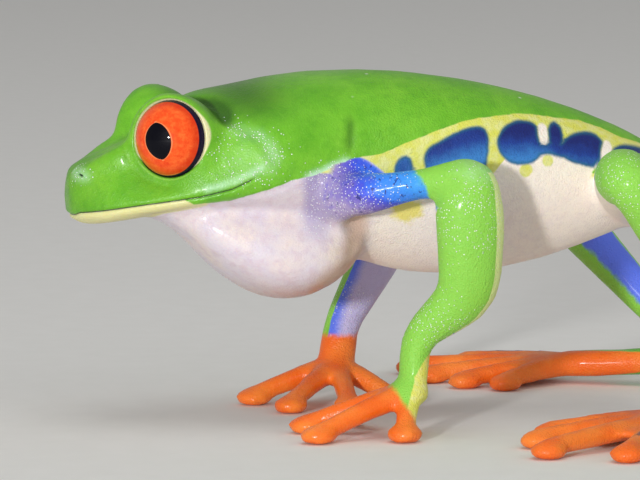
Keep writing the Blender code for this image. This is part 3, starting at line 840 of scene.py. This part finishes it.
# %% Foot markings
TOE_LINE = [(54.6, 12.9), (51.4, 14.9), (46.4, 17.9), (43.2, 22.3), (40.9, 25.8)]
behind = x > 33
orange = np.where(behind & (beside > 2) & (z < 4.8), joined(orange, 4.0 - z), orange)
width = np.interp(x, [40.5, 44, 50, 55], [0.22, 0.38, 0.75, 1.3])
streak = np.where(behind & (z > 0.75) & (z < 6), width - from_line(TOE_LINE, x, beside), streak)
along = np.where((z < 5) & (x > 36), (54.0 - x) / 13.5, along)
patch = 0.38 - np.hypot(x - 41.1, y - 26.6)  # on the right foot only
yellow = np.where(behind & (z < 4.2), patch, yellow)
cream = np.where(behind & (z < 5), np.where(z > 0.4, patch, OUTSIDE), cream)
blue = np.where(behind & (z < 6), OUTSIDE, blue)
green = np.where(behind & (z < 3.2), OUTSIDE, green)
tell("orange with the feet:", orange)

# %% [markdown]
# ### Grain and shade
#
# Some places are rougher than the rest: cheek, nose and shoulder are set with fine granules, whose white
# glints are painted later, and get a painted sheen. The green is darker on the neck, partly its own mottling
# and partly painted shade, gets painted shade in the hollow behind the eye and in the folds, and painted
# light on the cheek and the outer parts. These are soft clouds without a border.

# %% Cheek, nose, and painted light and shade on the green
cheek = np.exp(-((x - 13.6) / 2.7) ** 2 - ((z - 21.9) / 1.9) ** 2) * sides
eardrum = np.hypot((x - 13.5) / 1.15, z - 22.2)
ear_ring = ridge(eardrum - 1.9, 0.6) * sides * ease(10.8, 12.4, x) * ease(19.5, 20.5, z)
ear_ring *= ease(-1.0, 1.5, (x - 13.5) + (z - 22.2))
grainy = joined(grainy, cheek * ease(0.9, 1.6, eardrum) * 0.9 + 0.5 * ear_ring + 0.25 * cheek)
grainy = joined(grainy, 0.9 * violet)
nose = np.exp(-(nose_x / 0.8) ** 2 - (nose_z / 0.7) ** 2) * near_nose
grainy = joined(grainy, 0.8 * nose)
neck = np.exp(-((x - 14.2) / 3.6) ** 2 - ((z - 26.6) / 2.2) ** 2)
# painted shade: the neck darker, partly its own mottling and partly shade; the hollow behind the eye and the
# back's fold darker
tone = -0.75 * neck - 1.0 * hollow - 0.6 * back_fold
# painted light: lighter green more than about 9 mm out to the side, on the limbs, and on the cheek; the
# snout's tip a little darker
tone += 0.75 * ease(8.8, 10.0, beside) + 0.5 * cheek - 0.30 * ease(5, 1.5, x)
# painted sheen: a pale shine painted on the cheek, above the nostril, round the eardrum, along the shoulder's
# border and over the mouth's rear end
frost = joined(frost, 0.22 * cheek + 0.5 * nose + 0.22 * ear_ring)
PAINTED_SHEEN_LINES = (([(18.6, 20.2), (20.4, 20.9), (21.6, 21.4)], 0.55, 0.8),
           ([(10.5, 19.5), (12.6, 20.15), (14.7, 21.2)], 0.45, 0.5))
for path, width, strength in PAINTED_SHEEN_LINES:
    frost = joined(frost, strength * ridge(from_line(path, x, z), width) * sides)
tell("clearly grainy:", grainy - 0.3)

# %% [markdown]
# The lids have a cream rim, widest behind the eye. Below the ball the rim is hidden, and painted shade draws
# a dark line in the gap between lid and ball; painted shade also darkens the grooves of the mouth and the
# nostrils.

# %% Lids' rims and painted shade in the grooves
cream_lid = nothing.copy()
# painted shade in the mouth's groove and the nostrils' slits
dark = 0.9 * ridge(to_mouth, 0.07) * on_head * mouth_end
dark = joined(dark, near_nose * ease(0.35, 0.8, slit))
for side in (-1, 1):
    wide, angle, forward = around_eye(places, side)
    near = (forward > 0.0) & (forward < 2.2) & (wide < 4.4) & (y * side > 0)
    turned = np.abs((angle - 0.12 + np.pi) % (2 * np.pi) - np.pi)  # 0 at the rear corner
    lower = ease(0.45, 0.85, -np.sin(angle + 0.12))
    width = (0.13 + 0.37 * np.exp(-(turned / 0.60) ** 2)) * (1 - lower) - 0.05 * lower
    cream_lid = np.where(near, joined(cream_lid, width - (wide - 3.02)), cream_lid)
    # painted shade in the gap below the ball, where the lower lid meets it
    dark = np.where(near, joined(dark, lower * (1 - ease(3.08, 3.15, wide))), dark)
    tone = np.where(near, tone + 0.9 * lower * ridge(wide - 3.24, 0.08), tone)
cream = joined(cream, cream_lid)
tell("rim of the lids:", cream_lid)

# %% [markdown]
# A named attribute keeps one number per vertex, and a material can read it with an Attribute node.

# %% Store the distances on the skin
def remember(mesh, name, numbers):
    attribute = mesh.attributes.new(name, "FLOAT", "POINT")
    attribute.data.foreach_set("value", np.asarray(numbers, dtype=np.float32))


MARKINGS = {"green": green, "yellow": yellow, "blue": blue, "teal": teal, "violet": violet,
            "arm_blue": arm_blue, "along": along, "lavender": lavender, "orange": orange, "streak": streak,
            "cream": cream, "dark": dark, "grainy": grainy, "tan": tan, "inner": inner, "tone": tone,
            "frost": frost, "blotch": blotch, "belly": belly}
for name, numbers in MARKINGS.items():
    remember(skin.data, name, np.clip(numbers, -3, 3))
print("markings stored on", len(x), "vertices")

# %% [markdown]
# ## The skin's material
#
# A few short helpers keep the node trees readable. `Recipe` starts a material and adds nodes to it: each
# method returns an output that the next one can take.

# %% Recipe
class Recipe:
    """A material in the making."""

    def __init__(self, name):
        self.material = bpy.data.materials.new(name)
        self.material.use_nodes = True
        self.tree = self.material.node_tree
        self.shader = self.tree.nodes["Principled BSDF"]
        self.object_place = self.add("ShaderNodeTexCoord").outputs["Object"]

    def add(self, kind, **settings):
        node = self.tree.nodes.new(kind)
        for key, value in settings.items():
            setattr(node, key, value)
        return node

    def feed(self, socket, value):
        """Give a socket a constant, a node's output, or, by its name, a number stored on the mesh."""
        if isinstance(value, str):
            value = self.add("ShaderNodeAttribute", attribute_name=value).outputs["Fac"]
        if isinstance(value, bpy.types.NodeSocket):
            self.tree.links.new(value, socket)
        else:
            socket.default_value = value

    def maths(self, operation, *values, clamp=False):
        node = self.add("ShaderNodeMath", operation=operation, use_clamp=clamp)
        for socket, value in zip(node.inputs, values):
            self.feed(socket, value)
        return node.outputs[0]

    def constants(self, values):
        for name, value in values.items():
            self.feed(self.shader.inputs[name], value)


print("steps of a recipe:", ", ".join(name for name in vars(Recipe) if not name.startswith("_")))

# %% [markdown]
# `Paint` is a recipe that also knows patterns and colours: noises and cells sized in millimetres, soft steps,
# colour ramps, one colour over another, and relief. Colours are given in everyday 0 to 255 steps.

# %% Patterns and colours
def linear(*steps):
    """A colour given in 0 to 255 steps, as the linear numbers that shaders take, with its alpha."""
    shares = [step / 255 for step in steps]
    return (*(v / 12.92 if v <= 0.04045 else ((v + 0.055) / 1.055) ** 2.4 for v in shares), 1)


class Paint(Recipe):
    """A recipe that mixes colours."""

    def pattern(self, kind, per_mm, stretch=(1, 1, 1), **settings):
        """A texture with about so many features in a millimetre."""
        place = self.add("ShaderNodeMapping")
        self.feed(place.inputs["Scale"], [s / MM * per_mm for s in stretch])
        self.feed(place.inputs["Vector"], self.object_place)
        node = self.add(kind, **settings)
        self.feed(node.inputs["Scale"], 1.0)
        self.feed(node.inputs["Vector"], place.outputs["Vector"])
        return node

    def noise(self, per_mm, detail=3.0, roughness=0.5, stretch=(1, 1, 1)):
        node = self.pattern("ShaderNodeTexNoise", per_mm, stretch)
        self.feed(node.inputs["Detail"], detail)
        self.feed(node.inputs["Roughness"], roughness)
        return node.outputs["Fac"]

    def cells(self, per_mm, feature="F1", output="Distance"):
        return self.pattern("ShaderNodeTexVoronoi", per_mm, feature=feature).outputs[output]

    def rise(self, value, low, high, to_low=0.0, to_high=1.0):
        """Smooth change from one number to another while the value goes from low to high."""
        node = self.add("ShaderNodeMapRange", interpolation_type="SMOOTHSTEP")
        for socket, number in zip(node.inputs, (value, low, high, to_low, to_high)):
            self.feed(socket, number)
        return node.outputs["Result"]

    def ramp(self, value, stops):
        node = self.add("ShaderNodeValToRGB")
        ramp = node.color_ramp
        while len(ramp.elements) < len(stops):
            ramp.elements.new(0.5)
        for element, (place, colour) in zip(ramp.elements, stops):
            element.position = place
            element.color = linear(*colour)
        self.feed(node.inputs["Fac"], value)
        return node.outputs["Color"]

    def mix(self, factor, under, over):
        node = self.add("ShaderNodeMix", data_type="RGBA")
        self.feed(node.inputs[0], factor)
        for socket, colour in ((node.inputs[6], under), (node.inputs[7], over)):
            self.feed(socket, linear(*colour) if isinstance(colour, tuple) else colour)
        return node.outputs[2]

    def bump(self, height, depth_mm, under=None):
        node = self.add("ShaderNodeBump")
        self.feed(node.inputs["Distance"], depth_mm * MM)
        self.feed(node.inputs["Height"], height)
        if under is not None:
            self.feed(node.inputs["Normal"], under)
        return node.outputs["Normal"]


print("steps of a paint:", ", ".join(name for name in vars(Paint) if not name.startswith("_")))

# %% [markdown]
# ### Layers of colour
#
# Pale skin lies underneath. Violet, lavender, the arm's blue, yellow, the flank's blue, green and orange are
# laid over it in that order, each with its own border. Every one of them has at least two tones, because
# living skin is never one even colour. Three noises, from broad to fine, do this for the whole animal, and
# the middle one makes the borders wavy.

# %% Noises and borders
coat = Paint("tree_frog_skin")
broad, middle, fine = coat.noise(0.25, 3), coat.noise(1.3, 4, 0.6), coat.noise(6.0, 3, 0.6)
up_and_down = coat.maths("SUBTRACT", middle, 0.5)
wobble = coat.maths("MULTIPLY", up_and_down, 0.55)


def border(name, softness, wavy=1.0):
    """0 outside and 1 inside a marking whose distances are stored under a name."""
    edge = coat.maths("MULTIPLY_ADD", wobble, wavy, name)
    return coat.rise(edge, -softness, softness)


def ragged(name, amount):
    """A stored number, made uneven by the middle noise."""
    return coat.maths("MULTIPLY_ADD", up_and_down, amount, name)


def tinted(colour, *tints):
    """Lay each tint, an amount and a tone, over a colour in turn."""
    for amount, tone in tints:
        colour = coat.mix(amount, colour, tone)
    return colour


print("nodes so far:", len(coat.tree.nodes))

# %% [markdown]
# Throat and belly are pale, with a pinkish bloom on the throat, a creamier belly and a warm painted shade in
# the crease between them and low under the throat, and behind the arm a yellow blotch shows through. Towards
# the shoulder the throat's skin turns violet, and the inner sides of the limbs are blue to lavender.

# %% Pale and violet skin
pale = coat.ramp(broad, [(0.3, (226, 214, 218)), (0.5, (222, 212, 222)), (0.7, (236, 220, 212))])
less_on_belly = coat.rise("belly", 0.0, 1.0, 0.55, 0.15)
mottled = coat.maths("MULTIPLY", coat.rise(middle, 0.42, 0.7), less_on_belly)
ragged_blotch = coat.maths("MULTIPLY_ADD", wobble, 2.2, "blotch")
# the tan tint is painted shade in the throat's crease and under the throat
pale = tinted(pale, ("belly", (255, 243, 229)), (mottled, (212, 190, 204)),
              (coat.rise(fine, 0.5, 0.75, 0, 0.18), (200, 188, 214)),
              (coat.rise("tan", 0.1, 1.0, 0, 0.7), (206, 168, 134)),
              (coat.rise(ragged_blotch, 0.15, 0.65, 0, 0.9), (240, 226, 104)))
violet_skin = coat.mix(fine, (128, 108, 166), (176, 164, 204))
lavender_skin = coat.mix(coat.rise(ragged("inner", 0.6), 0.4, 1.6), (96, 122, 240), (196, 190, 232))
skin_colour = tinted(pale, (coat.rise("violet", 0.0, 1.0, 0, 0.85), violet_skin),
                     (border("lavender", 0.10, 0.35), lavender_skin))
print("nodes with the pale skin:", len(coat.tree.nodes))

# %% [markdown]
# The upper arm changes colour along its length, so a colour ramp reads the stored place along it, and dark
# blue flecks lie on top. The flank's blue is dark at the top of a patch and lighter below, with a thin
# greenish edge. The lip has the flank's yellow too, but paler.

# %% Arm, yellow and blue
ARM_TONES = [(0.05, (168, 152, 198)), (0.22, (118, 104, 200)), (0.35, (66, 84, 222)),
             (0.50, (62, 136, 248)), (0.82, (62, 158, 244)), (0.97, (84, 186, 190))]
BLUE_TONES = [(0.05, (18, 34, 112)), (0.40, (26, 62, 150)), (0.95, (58, 132, 206))]
flecks = coat.rise(coat.noise(3.2, 2, 0.6, (1, 1, 0.5)), 0.60, 0.70, 0, 0.8)
arm_skin = coat.mix(flecks, coat.ramp(ragged("along", 0.25), ARM_TONES), (24, 34, 120))
where = coat.add("ShaderNodeSeparateXYZ")
coat.feed(where.inputs["Vector"], coat.object_place)
on_lip = coat.rise(where.outputs["X"], to_world(10, 0, 0).x, to_world(14, 0, 0).x, 0.75, 0.0)
yellow_skin = coat.mix(coat.rise(middle, 0.35, 0.7), (222, 222, 92), (230, 230, 150))
yellow_skin = coat.mix(on_lip, yellow_skin, (228, 222, 168))
blue_skin = tinted(coat.ramp(ragged("teal", 0.5), BLUE_TONES),
                   (coat.rise(fine, 0.55, 0.75, 0, 0.35), (14, 26, 96)),
                   (coat.rise("blue", 0.05, 0.38, 0.75, 0.0), (36, 104, 128)))
skin_colour = tinted(skin_colour, (border("arm_blue", 0.3), arm_skin),
                     (border("yellow", 0.10, 0.35), yellow_skin), (border("blue", 0.15, 0.35), blue_skin))
print("nodes with the blue:", len(coat.tree.nodes))

# %% [markdown]
# The green has three broad tones, a darker and a lighter mottling, and the painted light and shade and
# the painted sheen stored before. Orange, the toe's streak, the cream lines and the painted shade in the
# grooves of lids, mouth and nostrils are laid over it in turn.

# %% Green, orange and the lines
GREEN_TONES = [(0.3, (96, 172, 28)), (0.5, (112, 186, 38)), (0.72, (126, 196, 46))]
STREAK_TONES = [(0.15, (96, 178, 40)), (0.5, (150, 190, 130)), (0.68, (168, 150, 205)),
                (0.85, (128, 104, 140)), (1.0, (150, 92, 50))]
# painted sheen: a pale, cool shine laid over the green
frosted = coat.maths("MULTIPLY", "frost", coat.maths("ADD", middle, 0.5))
green_skin = tinted(coat.ramp(broad, GREEN_TONES),
                    (coat.rise(middle, 0.42, 0.7, 0, 0.35), (80, 156, 26)),
                    (coat.rise(fine, 0.5, 0.8, 0, 0.25), (150, 208, 84)),
                    # tone: painted light makes the green lighter, painted shade makes it darker
                    (coat.rise("tone", 0.0, 1.0), (148, 216, 82)),
                    (coat.rise("tone", 0.0, -1.0, 0, 0.9), (44, 92, 14)),
                    (coat.rise(frosted, 0.05, 1.0), (206, 244, 214)))
orange_skin = tinted((244, 108, 26), (coat.rise(broad, 0.35, 0.65), (252, 136, 50)),
                     (coat.rise(fine, 0.5, 0.8, 0, 0.4), (232, 88, 20)))
behind_head = coat.rise(where.outputs["X"], to_world(14, 0, 0).x, to_world(16, 0, 0).x, 0, 0.9)
cream_skin = tinted((240, 234, 190), (middle, (230, 222, 164)), (behind_head, (222, 246, 156)))
is_orange = border("orange", 0.30, 1.2)
# the last tint is painted shade in the grooves of lids, mouth and nostrils
skin_colour = tinted(skin_colour, (border("green", 0.06, 0.35), green_skin), (is_orange, orange_skin),
                     (border("streak", 0.12, 0.5), coat.ramp("along", STREAK_TONES)),
                     (border("cream", 0.06, 0.10), cream_skin),
                     (coat.rise("dark", 0.15, 0.9, 0, 0.92), (22, 28, 14)))
print("nodes with all the colours:", len(coat.tree.nodes))

# %% [markdown]
# Where the skin is rough it is set with small raised dots, and each dot gets a painted white glint, as if
# it shone. A cell pattern gives each dot a random colour of its own: its red says whether the dot shows at
# all, and its green how bright its painted glint is. The few white specks on the back have places of their
# own.

# %% Granules and specks
DOTS_PER_MM = 5.4
SPECKS = [(28.5, -3.4, 27.75), (24.4, -2.2, 28.15), (36.9, -2.8, 26.1), (22.6, -5.6, 26.6),
          (26.2, 4.1, 27.6), (33.0, 2.2, 27.0), (19.8, 3.0, 27.9), (40.2, 1.8, 25.2)]
dot_round = coat.rise(coat.cells(DOTS_PER_MM), 0.14, 0.42, 1.0, 0.0)
luck = coat.add("ShaderNodeSeparateColor")
coat.feed(luck.inputs["Color"], coat.cells(DOTS_PER_MM, output="Color"))
share = coat.maths("MULTIPLY", "grainy", 0.95)
chosen = coat.rise(coat.maths("SUBTRACT", share, luck.outputs["Red"]), 0.0, 0.06)
dotted = coat.maths("MULTIPLY", dot_round, chosen)
glint_strength = coat.rise(luck.outputs["Green"], 0.0, 1.0, 0.35, 1.0)
# painted glint: each chosen raised dot gets a white spot, as if it shone
painted_glint = coat.maths("MULTIPLY", coat.rise(dotted, 0.2, 0.7), glint_strength)
to_speck = 1.0
for spot in SPECKS:
    gap = coat.add("ShaderNodeVectorMath", operation="DISTANCE")
    coat.feed(gap.inputs[0], coat.object_place)
    coat.feed(gap.inputs[1], to_world(*spot))
    to_speck = coat.maths("MINIMUM", gap.outputs["Value"], to_speck)
on_speck = coat.rise(to_speck, 0.08 * MM, 0.24 * MM, 0.9, 0.0)
skin_colour = tinted(skin_colour, (painted_glint, (250, 253, 252)), (on_speck, (240, 246, 232)))
coat.feed(coat.shader.inputs["Base Color"], skin_colour)
print("white specks on the back:", len(SPECKS))

# %% [markdown]
# The relief has three sizes: fine granules, coarser on the belly, a gentle unevenness and the raised dots.
# Frog skin is moist, so it has a thin clear coat over a duller base, and light goes a little way into it.

# %% Relief and gloss
coarser = coat.rise("belly", 0.0, 1.0, 1.0, 2.4)
granules = coat.maths("MULTIPLY", coat.cells(7.5, feature="SMOOTH_F1"), coarser)
grain = coat.bump(granules, 0.030)
grain = coat.bump(middle, 0.06, grain)
grain = coat.bump(dotted, 0.03, grain)
coat.feed(coat.shader.inputs["Normal"], grain)
dull = coat.maths("MULTIPLY_ADD", "belly", 0.14, coat.rise(fine, 0.3, 0.7, 0.34, 0.5))
coat.feed(coat.shader.inputs["Roughness"], coat.maths("MULTIPLY_ADD", is_orange, -0.12, dull))
coat.constants({"Subsurface Weight": 0.12, "Subsurface Radius": (1.0, 0.5, 0.25),
                "Subsurface Scale": 0.5 * MM, "Specular IOR Level": 0.35,
                "Coat Weight": 0.18, "Coat Roughness": 0.14})
skin.data.materials.clear()
skin.data.materials.append(coat.material)
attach(skin, "root")
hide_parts(*flesh_names)
print("the skin stands in for", len(flesh_names), "solids")

# %% [markdown]
# ## The eyes
#
# The eye of this frog is a bright red dome with an upright dark pupil. Each eye is a ball with its pole
# turned along the gaze, so that its rings of faces run round the iris. Two angles stored on it place the
# pupil, and a third the iris's rim.

# %% Eyeballs
PUPIL_LEAN = math.radians(14)
PUPIL_DROP = math.radians(3.6)
eyes = {}
for side, word in ((-1, "left"), (1, "right")):
    bpy.ops.mesh.primitive_uv_sphere_add(segments=96, ring_count=64, radius=BALL * MM)
    eye = bpy.context.object
    eye.name = "eyeball_" + word
    centre, gaze = EYES[side]
    turn = Vector(gaze).to_track_quat("Z", "Y").to_matrix().to_4x4()
    eye.data.transform(Matrix.Translation(to_world(*centre)) @ turn)
    eye.data.shade_smooth()
    unit = (from_snout(eye.data) - centre) / BALL
    level = np.cross(gaze, (0, 0, 1.0))
    level /= np.linalg.norm(level)
    level *= np.sign(level[0])  # towards the rear
    up = np.cross(level, gaze)
    up *= np.sign(up[2])
    rearward = np.arctan2(unit @ level, unit @ gaze)
    upward = np.arcsin(np.clip(unit @ up, -1, 1)) + PUPIL_DROP
    across = rearward * math.cos(PUPIL_LEAN) + upward * math.sin(PUPIL_LEAN)
    upright = -rearward * math.sin(PUPIL_LEAN) + upward * math.cos(PUPIL_LEAN)
    ring = np.arccos(np.clip(unit @ gaze, -1, 1))
    for name, numbers in (("across", across), ("upright", upright), ("ring", ring),
                          ("rear", unit @ level), ("above", unit @ up)):
        remember(eye.data, name, numbers)
    eyes[word] = eye
print("eyeballs:", [len(e.data.polygons) for e in eyes.values()], "faces")

# %% [markdown]
# The pupil is a pointed oval: its half width shrinks towards both tips. A thin pale edge runs round it, the
# red is mottled with darker threads, and outside the iris the ball is nearly black with a violet cast.

# %% Eye material
red = Paint("red_eye")
PUPIL_HALF_WIDTH, PUPIL_HALF_HEIGHT = 0.36, 0.485
tall = red.maths("DIVIDE", "upright", PUPIL_HALF_HEIGHT)
room = red.maths("SUBTRACT", 1.0, red.maths("MULTIPLY", tall, tall), clamp=True)
half_width = red.maths("MULTIPLY", red.maths("POWER", room, 0.60), PUPIL_HALF_WIDTH)
from_pupil = red.maths("SUBTRACT", red.maths("ABSOLUTE", "across"), half_width)
past_tip = red.maths("SUBTRACT", red.maths("ABSOLUTE", "upright"), PUPIL_HALF_HEIGHT)
from_pupil = red.maths("MAXIMUM", from_pupil, past_tip)

threads = red.noise(2.2, 5, 0.65)
speckle = red.noise(9.0, 3, 0.6)
rim = red.maths("MULTIPLY_ADD", "rear", 0.05, "ring")
rim = red.maths("ADD", rim, red.rise("above", -1.0, -0.2, -0.03, 0.0))
pupil_edge = red.maths("ABSOLUTE", red.maths("SUBTRACT", from_pupil, 0.020))
front = red.maths("MULTIPLY", "rear", -1.0)
front_low = red.maths("MULTIPLY_ADD", "above", -0.6, front)
gold = red.maths("MULTIPLY", red.rise(rim, 1.08, 1.12), red.rise(front_low, 0.0, 0.5, 0, 0.6))
iris = red.ramp(threads, [(0.3, (236, 66, 24)), (0.5, (246, 90, 36)), (0.72, (254, 118, 52))])
ball_colour = iris
for amount, tone in ((red.rise(speckle, 0.5, 0.75, 0, 0.35), (216, 48, 14)),
                     (red.rise(rim, 0.85, 1.10, 0, 0.6), (208, 40, 14)),
                     (red.rise(pupil_edge, 0.006, 0.026, 0.65, 0.0), (246, 160, 104)),
                     (gold, (244, 176, 80)),
                     (red.rise(rim, 1.125, 1.150), (22, 12, 44)),
                     (red.rise(from_pupil, -0.006, 0.010, 1.0, 0.0), (4, 4, 14))):
    ball_colour = red.mix(amount, ball_colour, tone)
red.feed(red.shader.inputs["Base Color"], ball_colour)
red.feed(red.shader.inputs["Roughness"], red.rise(threads, 0.3, 0.7, 0.35, 0.5))
red.feed(red.shader.inputs["Normal"], red.bump(threads, 0.03))
red.constants({"Coat Weight": 1.0, "Coat Roughness": 0.02, "Coat IOR": 1.2, "Specular IOR Level": 0.05})
for word, eye in eyes.items():
    eye.data.materials.clear()
    eye.data.materials.append(red.material)
    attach(eye, "root")
    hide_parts("eye_" + word)
print("nodes in the eye's material:", len(red.tree.nodes))

# %% [markdown]
# ## Floor, camera and light
#
# A wide pale floor, matt as paper, gives a quiet ground that reaches far behind the frog. It belongs to the
# stage and not to the model.

# %% Floor
bpy.ops.mesh.primitive_plane_add(size=8)
floor = bpy.context.object
floor.name = "floor"
paper = Paint("pale_paper")
fibres = paper.noise(0.4, 5, 0.6)
paper.feed(paper.shader.inputs["Base Color"], paper.mix(fibres, (232, 231, 227), (239, 238, 235)))
paper.feed(paper.shader.inputs["Roughness"], paper.rise(fibres, 0.3, 0.7, 0.8, 0.95))
paper.feed(paper.shader.inputs["Normal"], paper.bump(fibres, 0.02))
floor.data.materials.append(paper.material)
print("floor:", round(floor.dimensions.x, 1), "m wide")

# %% [markdown]
# The camera looks at the frog's left side from a little in front and a little above. A long lens at arm's
# length keeps the near and the far limbs in their true proportions.

# %% Camera
AZIMUTH = math.radians(-11)
ELEVATION = math.radians(6)
DISTANCE = 0.4
aim = to_world(21.03, 0, 14.5)


def sight_line(azimuth, elevation):
    """Direction in which something placed at these angles looks at the frog."""
    level = math.cos(elevation)
    return Vector((-math.sin(azimuth) * level, math.cos(azimuth) * level, -math.sin(elevation)))


sight = sight_line(AZIMUTH, ELEVATION)
camera_data = bpy.data.cameras.new("camera")
camera_data.lens = 279.07
camera_data.sensor_width = 36
camera_data.clip_start = 0.01
camera_data.clip_end = 20
camera = bpy.data.objects.new("camera", camera_data)
camera.location = aim - sight * DISTANCE
camera.rotation_euler = sight.to_track_quat("-Z", "Y").to_euler()
bpy.context.scene.collection.objects.link(camera)
bpy.context.scene.camera = camera
print("camera", [round(v, 3) for v in camera.location], "lens", round(camera_data.lens, 1))

# %% [markdown]
# One small lamp near the camera, a little to the left, makes the bright spot in each pupil and the glints
# on the wet skin. Wide lamps at the side and above, and a pale world all round, fill the shadows.

# %% Lights
def soft_box(name, azimuth, elevation, distance, size, power):
    """Round lamp that looks at the frog from a direction given in degrees, as for the camera."""
    towards = sight_line(math.radians(azimuth), math.radians(elevation))
    data = bpy.data.lights.new(name, "AREA")
    data.shape = "DISK"
    data.size = size
    data.energy = power
    lamp = bpy.data.objects.new(name, data)
    lamp.location = aim - towards * distance
    lamp.rotation_euler = towards.to_track_quat("-Z", "Y").to_euler()
    bpy.context.scene.collection.objects.link(lamp)
    return lamp


soft_box("key", -30, 8, 0.55, 0.04, 1.9)
for lamp in (soft_box("fill", 40, 30, 0.8, 0.5, 0.6), soft_box("top", 0, 80, 0.7, 0.5, 0.95)):
    lamp.visible_glossy = False  # of the lamps, only the key shines in the eyes and on the wet skin
world = bpy.data.worlds.new("studio")
world.use_nodes = True
world.node_tree.nodes["Background"].inputs["Color"].default_value = (1.0, 1.0, 1.0, 1)
world.node_tree.nodes["Background"].inputs["Strength"].default_value = 0.36
bpy.context.scene.world = world
bpy.context.scene.view_settings.view_transform = "Standard"  # keeps the strong colours of the living animal

# %% [markdown]
